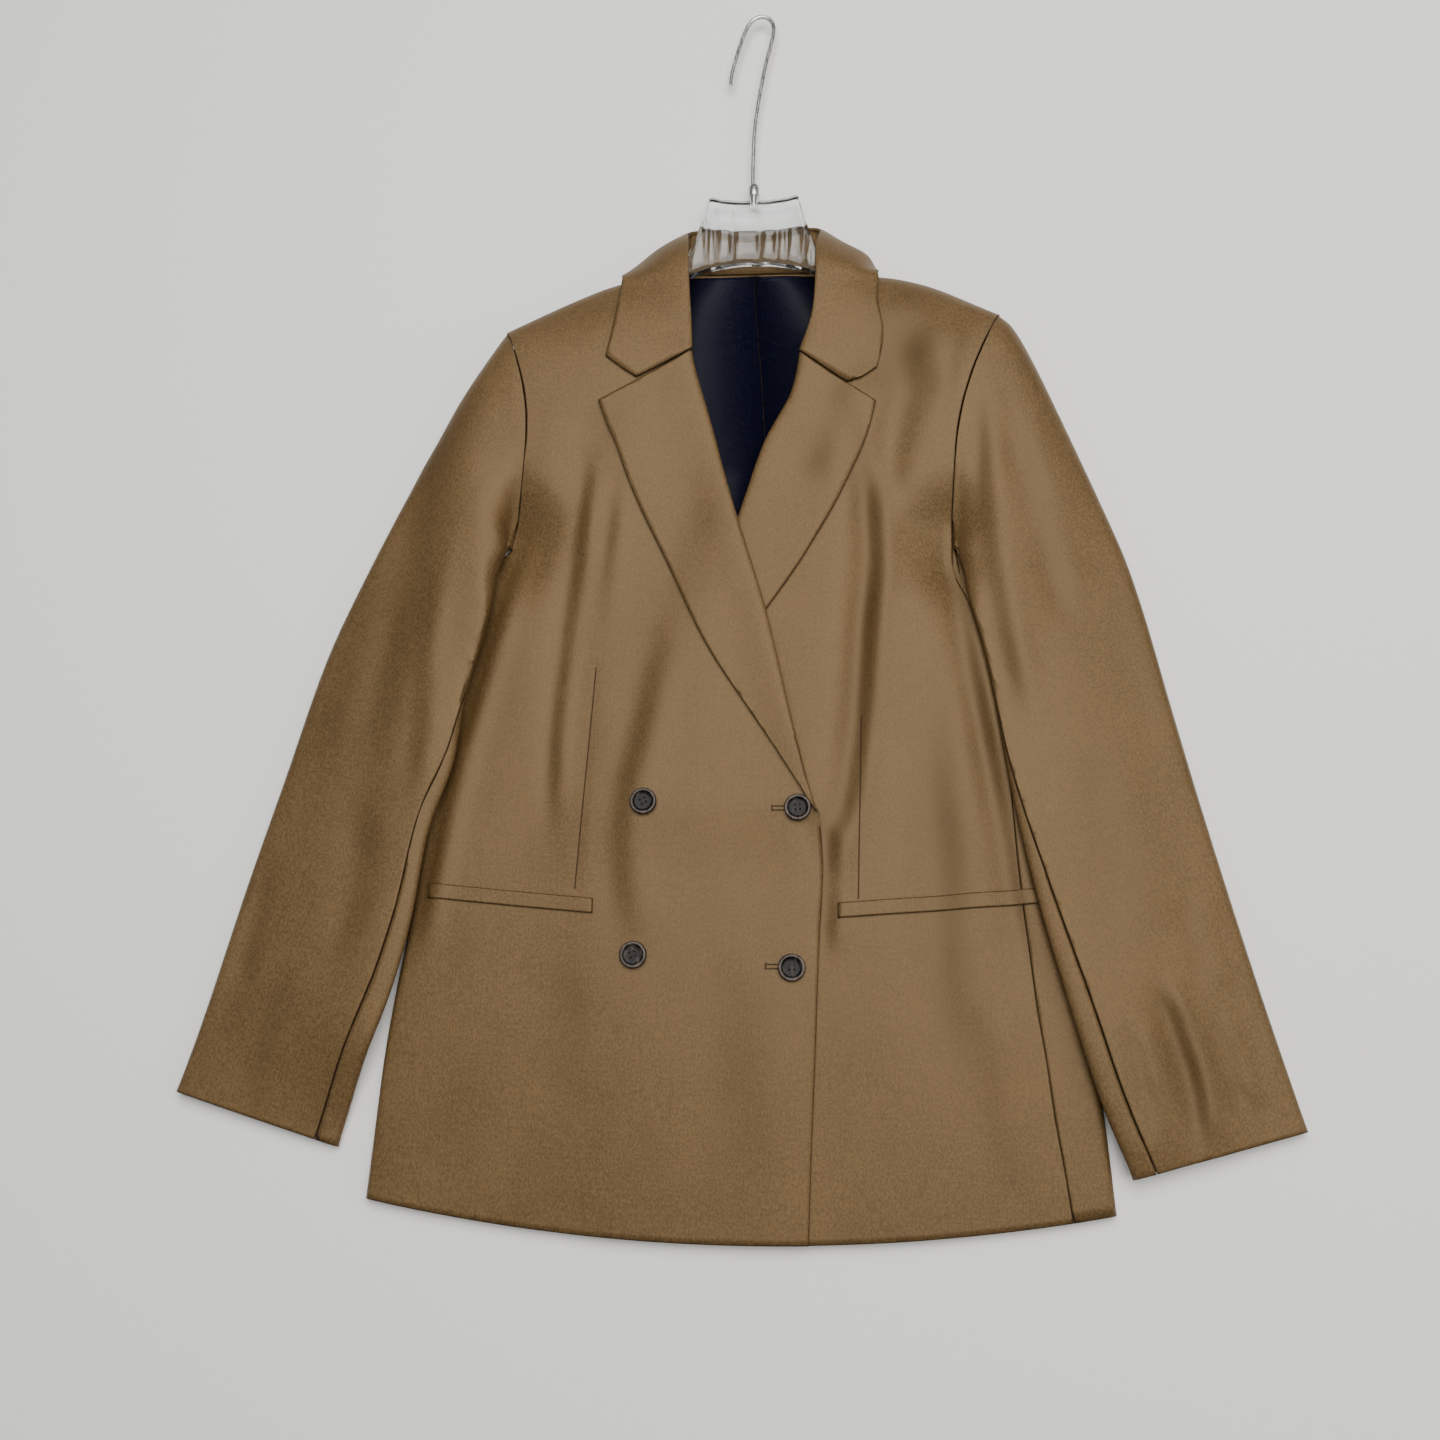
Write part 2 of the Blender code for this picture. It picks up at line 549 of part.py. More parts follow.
def armhole_loop(side, upper):
    """Points and inward directions along one half of an armhole, from the underarm up."""
    line = (SCYE if upper else UNDER_SCYE)[side]
    pit, tip = read(HEIGHTS, line.points[0, 1])[2] / 2, RADII[-1, 1]
    loop = []
    for x, y in armhole_points(line):
        run = line.share_at(y) * line.length
        ahead = line.at(min(run / line.length + 0.01, 1.0)) - line.at(max(run / line.length - 0.01, 0.0))
        _, rise_low, lean_low = turn(run, pit)
        _, rise_high, lean_high = turn(line.length - run, tip)
        level = min(rise_low, rise_high)
        lean = unit(ahead[:2]) * (lean_low - lean_high)
        loop.append((face(x, y, upper)[0], unit(np.array([*lean, -level if upper else level]))))
    return loop


def spread(start, end, radius, count):
    """Plan points from a rounded edge at start to a plain edge at end."""
    width = np.linalg.norm(end - start)
    runs = turn_steps(radius) + [mix(radius, width, (i + 1) / count) for i in range(count)]
    return [mix(start, end, run / width) for run in runs]


def with_hem(points):
    """Plan points moved onto the hem's curve, and sideways with the body's outline."""
    moved = []
    for x, y in points:
        lower = y + hem_shift(x, y)
        outline = EDGE[side_of(x)]
        scale = outline.x_at(lower) / outline.x_at(y) if y < HEM_FADE else 1.0
        moved.append(np.array([x * scale, lower]))
    return moved


def cover(plan, upper, rise=None):
    """Surface points and inward directions over rows of plan points."""
    outer, into = [], []
    for row in plan:
        found = [face(x, y, upper) for x, y in row]
        if rise:
            for point, _ in found:
                point[2] += rise(point[0], point[1])
        outer.append([point for point, _ in found])
        into.append([direction for _, direction in found])
    return outer, into


def lean_at_armhole(grid, into, loop):
    """Give a panel's points that lie on an armhole the directions of the armhole's loop."""
    for i, row in enumerate(grid):
        for j, point in enumerate(row):
            for place, direction in loop:
                if np.linalg.norm(point[:2] - place[:2]) < SAME_PLACE:
                    into[i][j] = direction


def shoulder_rows(side, arm_points, place):
    """Plan rows over the rounded shoulder, from its lower side to the shoulder seam."""
    line = SHOULDER_LINE[side]
    rows = []
    for arm_point, angle in zip(arm_points, reversed(TURN_ANGLES)):
        row = []
        for share in place:
            edge = line.at(share)[:2]
            _, left, _ = line.nearest(edge[0], edge[1] - 1.0)
            inward = left * SIDE[side]
            radius = read(RADII, abs(edge[0]))[0]
            point = edge + inward * radius * (1.0 - math.cos(math.radians(angle)))
            row.append(mix(point, arm_point, (1.0 - share) ** TIP_POWER))
        rows.append(row)
    return rows


def front_end(side, y):
    """Plan point on a front's free edge, drawn back where the lapel goes on."""
    fade = 1.0 - ease((y - INSET_FADE[0]) / INSET_FADE[1])
    inset = FRONT_INSET * ease((y - LAPEL_BREAK) / BREAK_FADE) * fade
    return np.array([FRONT_LINE[side].x_at(y) + SIDE[side] * inset, y])


def front(side):
    """One front, from the hem to the shoulder seam, in rows from its side seam to its free edge."""
    outer = EDGE[side] if side == "right" else SIDE_LINE
    arm = armhole_points(SCYE[side])
    if side == "left":
        arm = [point for point in arm if point[1] > outer.points[-1, 1] + CORNER_GAP]
    climb, tip = arm[:-len(TURN_ANGLES)], arm[-len(TURN_ANGLES):]
    ends = [(np.array([outer.x_at(y), y]), front_end(side, y)) for y in FRONT_ROWS]
    if side == "left":
        ends.append((outer.points[-1, :2], front_end(side, CORNER_Y)))
    for i, point in enumerate(climb):
        ends.append((point, front_end(side, mix(*CLIMB_Y, i / (len(climb) - 1)))))
    plan = []
    for left, right in ends:
        radius = read(HEIGHTS, left[1])[2] / 2 if side == "right" else FRONT_STEP
        plan.append(with_hem(spread(left, right, radius, FRONT_COLUMNS)))
    width = SHOULDER_LINE[side].length
    steps = turn_steps(SHOULDER_STEP if side == "right" else FRONT_STEP)
    place = [step / width for step in steps]
    place += [mix(steps[-1] / width, 1.0, (i + 1) / FRONT_COLUMNS) for i in range(FRONT_COLUMNS)]
    for row in shoulder_rows(side, tip, place):
        plan.append(row[:-1] + [front_end(side, row[-1][1])])
    outer_grid, into = cover(plan, True, overlap_rise if side == "right" else None)
    lean_at_armhole(outer_grid, into, armhole_loop(side, True))
    return wall("front_" + side, pull_in(outer_grid, (False, True), (True, False)), into, CLOTH, "wool")


def back_seam_rows(side):
    """Plan points down the seam between side panel and back, without its end at the armhole."""
    return [np.array([BACK_LINE[side].x_at(y), y]) for y in FRONT_ROWS]


def side_panel(side):
    """The panel under the arm, from the front's side seam round the edge to the back."""
    under = UNDER_SCYE[side]
    lower, upper = [], []
    for y, seam in zip(FRONT_ROWS, back_seam_rows(side)):
        edge = np.array([EDGE[side].x_at(y), y])
        radius = read(HEIGHTS, y)[2] / 2
        lower.append(with_hem(spread(edge, seam, radius, SIDE_COLUMNS)))
        if side == "left":
            front_seam = np.array([SIDE_LINE.x_at(y), y])
            upper.append(with_hem(spread(edge, front_seam, radius, STRIP_COLUMNS)))
    pit = read(HEIGHTS, under.points[0, 1])[2] / 2
    end = under.share_at(BACK_SEAM[side][-1][1]) * under.length
    runs = turn_steps(pit) + [mix(pit, end, (i + 1) / SIDE_COLUMNS) for i in range(SIDE_COLUMNS)]
    lower.append([under.at(run / under.length)[:2] for run in runs])
    outer_grid, into = cover(lower, False)
    lean_at_armhole(outer_grid, into, armhole_loop(side, False))
    if side == "left":
        scye = SCYE[side]
        end = scye.share_at(SIDE_SEAM_LEFT[-1][1]) * scye.length
        runs = turn_steps(pit) + [mix(pit, end, (i + 1) / STRIP_COLUMNS) for i in range(STRIP_COLUMNS)]
        upper.append([scye.at(run / scye.length)[:2] for run in runs])
        over, over_into = cover(upper, True)
        lean_at_armhole(over, over_into, armhole_loop(side, True))
        outer_grid = [above[:0:-1] + below for above, below in zip(over, outer_grid)]
        into = [above[:0:-1] + below for above, below in zip(over_into, into)]
    drawn = pull_in(outer_grid, (False, True), (True, True))
    return wall("side_panel_" + side, drawn, into, CLOTH, "wool")


def neck_y(side, x):
    """The back's neckline: y at x, between the neck point and the middle."""
    neck = SHOULDER_LINE[side].points[-1]
    return mix(neck[1], BACK_NECK_Y, ease(NECK_CURVE * (1.0 - x / neck[0])))


def back(side):
    """One half of the back, which lies flat and turns up at the shoulder."""
    under = UNDER_SCYE[side]
    top = BACK_SEAM[side][-1][1]
    arm = [point for point in armhole_points(under) if point[1] > top + CORNER_GAP]
    climb, tip = arm[:-len(TURN_ANGLES)], arm[-len(TURN_ANGLES):]
    ends = [(seam, np.array([0.0, seam[1]])) for seam in back_seam_rows(side)]
    ends.append((under.at(under.share_at(top))[:2], np.array([0.0, top])))
    for i, point in enumerate(climb):
        ends.append((point, np.array([0.0, mix(top, BACK_TOP_Y, (i + 1) / len(climb))])))
    plan = [with_hem([mix(left, right, j / BACK_COLUMNS) for j in range(BACK_COLUMNS + 1)])
            for left, right in ends]
    count = BACK_COLUMNS - len(NECK_SHARES)
    neck_x = SHOULDER_LINE[side].points[-1, 0]
    over = shoulder_rows(side, tip, [j / count for j in range(count + 1)])
    for row, angle in zip(over, reversed(TURN_ANGLES)):
        drop = row[-1][1] - neck_y(side, neck_x)
        down = NECK_STEP * (1.0 - math.cos(math.radians(angle)))
        for share in NECK_SHARES:
            x = row[-1][0] if share == 0.0 else neck_x * (1.0 - share)
            row.append(np.array([x, neck_y(side, x) + mix(drop, -down, ease(share / NECK_SHARES[1]))]))
        plan.append(row)
    outer_grid, into = cover(plan, False)
    lean_at_armhole(outer_grid, into, armhole_loop(side, False))
    return wall("back_" + side, pull_in(outer_grid, (False, True), (True, True)), into, CLOTH, "wool")


def lining_height(y):
    return BACK_RAISE * ease((y - RAISE_FROM + RAISE_WIDTH) / RAISE_WIDTH) + CLOTH + SEAM + LINING


def lining(side):
    """One half of the back lining, on the inside of the back."""
    seam, outer = spline(LINING_SEAM), spline(LINING_SIDE)
    plan = []
    for y in LINING_ROWS:
        middle = read(seam, y)[0]
        end = read(outer, y)[0] * SIDE[side]
        plan.append(with_hem([np.array([mix(middle, end, j / LINING_COLUMNS), y])
                              for j in range(LINING_COLUMNS + 1)]))
    grid = [[(x, y, lining_height(y)) for x, y in row] for row in plan]
    into = [[(0.0, 0.0, -1.0)] * (LINING_COLUMNS + 1)] * len(grid)
    return wall("lining_" + side, pull_in(grid, (False, False), (True, False)), into, LINING, "lining")


# ---------------------------------------------------------------- sleeves
def sleeve_rest(x, y):
    """Height on which the underside of a sleeve rests: the floor, or the body under it."""
    distance, _, on_left = EDGE[side_of(x)].nearest(x, y)
    outside = on_left if x < 0.0 else not on_left
    inside = -distance if outside else distance
    if inside <= -REST_RAMP:
        return 0.0
    return (open_height(x, y) + SLEEVE_CLEARANCE) * ease((inside + REST_RAMP) / (REST_RAMP - REST_LEAD))


def sleeve_ring(side, row, arm, under_arm):
    """Points and inward directions round a sleeve: over the top from the outer edge, and back below."""
    outer, inner = row[0:2], row[2:4]
    outer_radius, inner_radius, crown = row[4:7]
    width = np.linalg.norm(inner - outer)
    across = (inner - outer) / width
    inner_rest = sleeve_rest(*inner)
    count = len(ARMHOLE_SHARES)
    runs = turn_steps(outer_radius)
    runs += [mix(outer_radius, width - inner_radius, (i + 1) / (count + 1)) for i in range(count)]
    runs += [width - step for step in reversed(turn_steps(inner_radius))]
    start = np.array(SLEEVE[side][0], float)
    top, below = [], []
    for j, run in enumerate(runs):
        share = run / width
        first = mix(start[0:2], start[2:4], share)
        straight = mix(outer, inner, share)
        moved = np.linalg.norm(straight - first)
        blend = ease(moved / mix(SLEEVE_HEAD, SLEEVE_PIT, share))
        for upper, loop, ring in ((True, arm, top), (False, under_arm, below)):
            plan = straight
            if upper:
                plan = plan + (loop[j][0][:2] - first) * (1.0 - ease(moved / SLEEVE_HEAD))
                height = mix(2 * outer_radius, inner_rest + 2 * inner_radius, ease(share))
                height += crown * 4.0 * share * (1.0 - share)
                height -= fold_depth(SLEEVE_FOLD_LINES[side], *plan)
            else:
                height = sleeve_rest(*plan)
            into = np.zeros(3)
            level = 1.0
            for distance, radius, inward in ((run, outer_radius, across),
                                             (width - run, inner_radius, -across)):
                drop, sine, cosine = turn(distance, radius)
                height += -drop if upper else drop
                into[:2] += inward * cosine
                level = min(level, sine)
            into[2] = -level if upper else level
            point = np.array([*plan, height])
            if upper:
                point[2] = mix(loop[j][0][2], height, blend)
            if moved < SAME_PLACE:
                near_pit = 1.0 - ease(np.linalg.norm(loop[j][0][:2] - start[2:4]) / PIT_REACH)
                point = loop[j][0] + np.array([SIDE[side] * PIT_GAP * near_pit, 0.0, 0.0])
            ring.append((point, unit(mix(loop[j][1], unit(into), blend))))
    return top + below[-2:0:-1]


def sleeve(side):
    """Top sleeve and under sleeve, sewn to the armhole at their upper ends."""
    arm, under_arm = [armhole_loop(side, upper)[::-1] for upper in (True, False)]
    dense = spline(SLEEVE[side])
    seam = np.array(FOREARM_SEAM[side], float)
    last = len(SLEEVE[side]) - 1
    stops = [0, 1, 2, 3] + [3 + (i + 1) / 2 for i in range(2 * (last - 3))]
    inner_index = len(ARMHOLE_SHARES) + 2 * len(TURN_ANGLES) - 1
    made = {"top": ([], []), "under": ([], [])}
    for stop in stops:
        ring = sleeve_ring(side, dense[int(round(stop * 8))], arm, under_arm)
        points = np.array([point for point, _ in ring + ring[:1]])
        into = np.array([direction for _, direction in ring + ring[:1]])
        steps = np.linalg.norm(np.diff(points, axis=0), axis=1)
        run = np.concatenate([[0.0], np.cumsum(steps)])
        places = np.arange(len(run))
        forearm = np.interp(run[inner_index] - read(seam, stop / last)[0], run, places)
        hind = np.interp(run[-1] - HIND_SEAM, run, places)
        for part, start, end, count in (("top", hind - places[-1], forearm, OVER_COLUMNS),
                                        ("under", forearm, hind, UNDER_COLUMNS)):
            where = np.linspace(start, end, count) % places[-1]
            made[part][0].append(np.array([np.interp(where, places, c) for c in points.T]).T)
            made[part][1].append(np.array([np.interp(where, places, c) for c in into.T]).T)
    walls = []
    for part, finish in (("top", "wool"), ("under", "wool_under")):
        grid, into = made[part]
        drawn = pull_in(grid, (True, False), (True, True), SLEEVE_SEAM)
        into = np.array(into)
        into /= np.linalg.norm(into, axis=2, keepdims=True)
        walls.append(wall(part + "_sleeve_" + side, drawn, into, CLOTH, finish))
    return walls


# ---------------------------------------------------------------- lapels and collar
class Rest:
    """Upper surface of finished pieces, in millimetres, for what lies on them."""

    def __init__(self, pieces):
        self.trees = []
        for piece in pieces:
            points = [v.co / MM for v in piece.data.vertices]
            self.trees.append(BVHTree.FromPolygons(points, [p.vertices for p in piece.data.polygons]))

    def height(self, x, y, around=0.0):
        """Highest point found straight below, at a plan point and at four places around it."""
        steps = ((0.0, 0.0), (around, 0.0), (-around, 0.0), (0.0, around), (0.0, -around))
        found = [tree.ray_cast(Vector((x + dx, y + dy, RAY_TOP)), Vector((0.0, 0.0, -1.0)))[0]
                 for tree in self.trees for dx, dy in steps]
        return max([hit.z for hit in found if hit is not None], default=-RAY_TOP)


def section_points(rest, start, bend, edge, rise):
    """Points of a turned-over layer that lies on the front, from its roll to its edge."""
    points = []
    first = np.linalg.norm(bend - start)
    length = first + np.linalg.norm(edge - bend)
    for i in range(LAPEL_COLUMNS + 1):
        run = mix(ROLL_STEP, length, i / LAPEL_COLUMNS)
        plan = mix(start, bend, run / first)
        if run > first:
            plan = mix(bend, edge, (run - first) / (length - first))
        height = rest.height(*plan, REST_REACH) + LAP + rise * math.exp(-((run / ROLL_WIDTH) ** 2))
        points.append(np.array([*plan, height]))
    return points


def lapel(side, rest):
    """The turned-back part of a front, in rows from the gorge down to where it starts to turn."""
    grid = []
    for row in spline(LAPELS[side], 2):
        roll, edge, rise = row[0:2], row[2:4], row[4]
        toward = unit(edge - roll)
        below = roll + toward * LAPEL_OVERHANG
        base = front_height(side, *below)
        under = np.array([*below, base - CLOTH])
        crest = np.array([*roll, base + 0.5 * (rise + LAP - CLOTH)])
        grid.append([under, crest] + section_points(rest, roll, mix(roll, edge, 0.5), edge, rise))
    into = -grid_normals(grid) * SIDE[side]
    into[:, 0] = (0.0, 0.0, 1.0)
    into[:, 1] = [(*unit(row[2][:2] - row[1][:2]), 0.0) for row in grid]
    return wall("lapel_" + side, pull_in(grid, (True, False), (False, False)), into, CLOTH, "wool")


def gorge_section(side, rest):
    """The collar's end row, along the seam with the lapel and on to the collar's corner."""
    roll = np.array([LAPELS[side][0][0], LAPELS[side][0][1] + GORGE_OFFSET])
    gorge = np.array(GORGE[side]) + (0.0, GORGE_OFFSET)
    rise = LAPELS[side][0][4]
    points = section_points(rest, roll, gorge, np.array(COLLAR_CORNER[side]), rise)
    apart = np.array([0.0, 0.0, 1.0])
    toward = np.array([*unit(gorge - roll), 0.0])
    under = points[0] - apart * FOLD_HALF * 2.0
    crest = np.array([*roll, points[0][2] - FOLD_HALF])
    return [under, crest] + points, [apart, toward, -apart]


def collar_places(side, row, on_front):
    """Crest, pull, edge and foot of one collar station, as points."""
    sign = SIDE[side]
    shift = COLLAR_SHIFT * min(1.0, row[0] / 20.0)
    crest, pull, edge, foot = [np.array([sign * row[i] + shift, row[i + 1], row[i + 2]])
                               for i in (0, 3, 6, 9)]
    if on_front:
        foot[0] = front_end(side, row[10])[0] - sign * STAND_GAP
        foot[2] = front_height(side, *foot[:2]) - CLOTH
        edge[2] = front_height(side, *edge[:2]) + LAP
        pull = mix(crest, edge, 0.5)
    foot[1] = foot[1] or neck_y(side, foot[0]) + STAND_GAP
    return crest, pull, edge, foot


def collar_section(side, rest, places, along, on_front):
    """One row across the collar's fall, and the foot, top and outward direction of its stand."""
    crest, pull, edge, foot = places
    outer = -unit(unit(crest - foot) + unit(crest - pull))
    outer = unit(outer - along * (outer @ along))
    apart = np.cross(outer, along) * SIDE[side]
    start = crest + (outer + apart) * FOLD_HALF
    if on_front:
        rise = start[2] - front_height(side, *crest[:2]) - LAP
        points = section_points(rest, crest[:2], pull[:2], edge[:2], rise)
        points[0] = start
    else:
        points = [start]
        for t in np.arange(1, LAPEL_COLUMNS + 1) / LAPEL_COLUMNS:
            points.append((1 - t) ** 2 * start + 2 * t * (1 - t) * pull + t * t * edge)
    under = crest + (outer - apart) * FOLD_HALF
    top = under - unit(under - foot) * STAND_TOP
    return [under, crest] + points, [apart, outer, -apart], (foot, top, apart)


def collar_side(side, rest):
    """The collar's sections on one side, from the front to the back's middle."""
    places = [collar_places(side, row, i < COLLAR_FRONT_STATIONS) for i, row in enumerate(COLLAR)]
    crests = [crest for crest, _, _, _ in places]
    ahead = crests[1:] + [crests[-1] - np.array([SIDE[side], 0.0, 0.0])]
    behind = crests[:1] + crests[:-2] + [crests[-1]]
    return [collar_section(side, rest, place, unit(after - before), i < COLLAR_FRONT_STATIONS)
            for i, (place, before, after) in enumerate(zip(places, behind, ahead))]


def collar_and_stand(rests):
    """The collar's fall and stand, from the right front round the neck to the left front."""
    rows, stand = [], []
    for side in ("right", "left"):
        sections = collar_side(side, rests[side])
        if side == "left":
            sections.pop()
        made = [gorge_section(side, rests[side])] + [(points, leans) for points, leans, _ in sections]
        feet = [foot for _, _, foot in sections[1:]]
        order = 1 if side == "right" else -1
        rows += made[::order]
        stand += feet[::order]
    columns = len(rows[0][0])
    dense = spline([np.ravel(points + leans) for points, leans in rows], 2)
    dense = dense.reshape(len(dense), -1, 3)
    grid = dense[:, :columns]
    for row in grid:
        for point in row[2:]:
            floor = rests[side_of(point[0])].height(point[0], point[1], REST_REACH) + LAP
            if floor - COLLAR_CATCH < point[2] < floor:
                point[2] = floor
            point[2] = max(point[2], COLLAR_LOWEST)
    into = -outward(grid)
    into[:, :3] = dense[:, columns:]
    into /= np.linalg.norm(into, axis=2, keepdims=True)
    fall = wall("collar", grid, into, CLOTH, "wool")
    dense = spline([np.ravel(row) for row in stand], 2).reshape(-1, 3, 3)
    grid = [[mix(foot, top, i / STAND_COLUMNS) for i in range(STAND_COLUMNS + 1)] for foot, top, _ in dense]
    into = [[unit(apart)] * (STAND_COLUMNS + 1) for _, _, apart in dense]
    return [fall, wall("collar_stand", grid, into, CLOTH, "wool_under")]


def outward(grid):
    """Unit normals of the collar's grid, which face away from the neck."""
    normals = grid_normals(grid)
    middle = normals[len(grid) // 2, -1]
    return normals if middle[2] < 0.0 else -normals


# ---------------------------------------------------------------- pockets and buttons
def pocket_welt(side, rest):
    """A folded strip that lies on the front."""
    (x0, y0), (x1, y1) = WELTS[side]
    grid = []
    for across in (0.0, -0.5 * WELT_HEIGHT, -WELT_HEIGHT):
        row = []
        for i in range(WELT_COLUMNS + 1):
            x, y = mix(x0, x1, i / WELT_COLUMNS), mix(y0, y1, i / WELT_COLUMNS) + across
            row.append((x, y, rest.height(x, y, WELT_REACH) + REST_GAP + WELT_CLOTH))
        grid.append(row)
    into = [[(0.0, 0.0, -1.0)] * (WELT_COLUMNS + 1)] * len(grid)
    return wall("pocket_welt_" + side, grid, into, WELT_CLOTH, "wool")


def button(name, x, y, rest):
    """A turned button with a raised rim and four holes."""
    spots = [(x + r * math.cos(a), y + r * math.sin(a)) for r in (0.0, BUTTON_RADIUS / 2, BUTTON_RADIUS)
             for a in circle(BUTTON_SIDES)]
    z = max(rest.height(px, py) for px, py in spots) + SEAM
    loops = [[(x + r * math.cos(a), y + r * math.sin(a), z + h) for a in circle(BUTTON_SIDES)]
             for r, h in BUTTON_PROFILE]
    made = rings(name, loops, "horn")
    for dx in (-BUTTON_HOLE_SPREAD, BUTTON_HOLE_SPREAD):
        for dy in (-BUTTON_HOLE_SPREAD, BUTTON_HOLE_SPREAD):
            loops = [[(x + dx + BUTTON_HOLE * math.cos(a), y + dy + BUTTON_HOLE * math.sin(a), z + h)
                      for a in circle(BUTTON_HOLE_SIDES)] for h in (-SEAM, BUTTON_THICK + SEAM)]
            cut(made, loops)
    return made


def circle(sides):
    return np.arange(sides) * 2.0 * math.pi / sides


def cut(target, loops):
    """Cut a straight hole, given by two rings, through a body."""
    cutter = rings("cutter", loops, "steel")
    cutter.hide_render = True
    cutter.display_type = "WIRE"
    modifier = target.modifiers.new("hole", "BOOLEAN")
    modifier.operation = "DIFFERENCE"
    modifier.solver = "EXACT"
    modifier.object = cutter
    graph = bpy.context.evaluated_depsgraph_get()
    mesh = bpy.data.meshes.new_from_object(target.evaluated_get(graph))
    target.modifiers.clear()
    target.data = mesh
    bpy.data.objects.remove(cutter)


# ---------------------------------------------------------------- hanger
def hanger_body():
    """The clear hanger: rounded sections from one arm's end to the other's."""
    stations = [(-x, *rest) for x, *rest in reversed(HANGER)] + list(HANGER[1:])
    loops = []
    for x, low, high, top in stations:
        y, z = (low + high) / 2, (HANGER_BOTTOM + top) / 2
        half_y, half_z = (high - low) / 2, (top - HANGER_BOTTOM) / 2
        loop = []
        for angle in circle(HANGER_SIDES):
            c, s = math.cos(angle), math.sin(angle)
            loop.append((x, y + half_y * math.copysign(abs(c) ** SQUARENESS, c),
                         z + half_z * math.copysign(abs(s) ** SQUARENESS, s)))
        loops.append(loop)
    made = rings("hanger_body", loops, "acrylic")
    cut(made, [tube_ring(0.0, y, FERRULE_RADIUS + SEAM) for y in (FERRULE_START - SEAM, FERRULE_END)])
    return made


def tube_ring(x, y, radius):
    return [(x + radius * math.cos(a), y, HOOK_Z + radius * math.sin(a)) for a in circle(TUBE_SIDES)]


def hanger_ferrule():
    """The turned steel sleeve that holds the hook in the hanger's neck."""
    profile = ((FERRULE_START, FERRULE_RADIUS), (FERRULE_STEP, FERRULE_RADIUS),
               (FERRULE_STEP, FERRULE_COLLAR_RADIUS), (FERRULE_END, FERRULE_COLLAR_RADIUS))
    return rings("hanger_ferrule", [tube_ring(0.0, y, radius) for y, radius in profile], "steel")


def hanger_hook():
    """The round steel hook."""
    path = spline(HOOK_PATH, 2)
    loops = []
    for i, (x, y) in enumerate(path):
        before, after = path[max(i - 1, 0)], path[min(i + 1, len(path) - 1)]
        side = unit(np.array([after[1] - before[1], before[0] - after[0]]))
        loops.append([(x + side[0] * HOOK_RADIUS * math.cos(a), y + side[1] * HOOK_RADIUS * math.cos(a),
                       HOOK_Z + HOOK_RADIUS * math.sin(a)) for a in circle(HOOK_SIDES)])
    return rings("hanger_hook", loops, "steel")


# ---------------------------------------------------------------- the whole blazer
def centre(pieces):
    """Move everything so that the box's bottom centre is the origin."""
    points = np.array([v.co for piece in pieces for v in piece.data.vertices])
    low, high = points.min(axis=0), points.max(axis=0)
    middle = (low + high) / 2
    shift = Matrix.Translation((-middle[0], -middle[1], -low[2]))
    for piece in pieces:
        piece.data.transform(shift)


def build():
    pieces = []
    for side in ("right", "left"):
        pieces += [back(side), side_panel(side), lining(side)]
        pieces += sleeve(side)
    fronts = {side: front(side) for side in ("right", "left")}
    side_panels = [piece for piece in pieces if piece.name.startswith("side_panel")]
    rests = {side: Rest([piece]) for side, piece in fronts.items()}
    lapels = [lapel(side, rests[side]) for side in ("right", "left")]
    pieces += [*fronts.values(), *lapels, *collar_and_stand(rests)]
    rest = Rest([*fronts.values(), *side_panels])
    pieces += [pocket_welt(side, rest) for side in ("right", "left")]
    pieces += [button(name, x, y, rest) for name, x, y in BUTTONS]
    pieces += [hanger_body(), hanger_ferrule(), hanger_hook()]
    centre(pieces)


build()
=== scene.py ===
"""Looks of a double breasted blazer that lies on its back, with a clear coat hanger inside it.

Tables are in millimetres: x and y in the frame's plane, the collar towards +Y.
Right and left are the wearer's, so the right front is at -X and laps over the left one.
"""
import math

import bmesh
import bpy
import numpy as np
from mathutils import Matrix, Vector, noise
from mathutils.bvhtree import BVHTree
from mathutils.kdtree import KDTree


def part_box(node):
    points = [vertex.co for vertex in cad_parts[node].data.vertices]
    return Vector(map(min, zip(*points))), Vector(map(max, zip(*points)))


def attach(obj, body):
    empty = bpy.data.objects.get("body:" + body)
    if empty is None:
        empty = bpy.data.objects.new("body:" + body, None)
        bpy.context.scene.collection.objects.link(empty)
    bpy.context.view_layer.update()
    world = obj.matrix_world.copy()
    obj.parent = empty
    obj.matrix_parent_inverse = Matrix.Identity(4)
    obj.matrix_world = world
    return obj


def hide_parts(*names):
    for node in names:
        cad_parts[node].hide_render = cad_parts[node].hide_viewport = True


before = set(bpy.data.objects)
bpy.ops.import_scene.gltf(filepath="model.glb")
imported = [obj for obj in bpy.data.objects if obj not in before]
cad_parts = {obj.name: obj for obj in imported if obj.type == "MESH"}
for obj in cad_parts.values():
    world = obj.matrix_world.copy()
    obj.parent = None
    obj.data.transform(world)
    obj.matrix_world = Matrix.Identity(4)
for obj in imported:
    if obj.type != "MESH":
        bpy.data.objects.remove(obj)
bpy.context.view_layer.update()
MM = 0.001
SCENE = bpy.context.scene

# ---------------------------------------------------------------- places and sizes, mm
FERRULE_LOW, FERRULE_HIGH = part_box("hanger_ferrule")
SPINE_X = (FERRULE_LOW.x + FERRULE_HIGH.x) / 2 / MM      # the garment's middle
HEM_Y = FERRULE_HIGH.y / MM - 826.0                     # the level that lengths are measured from

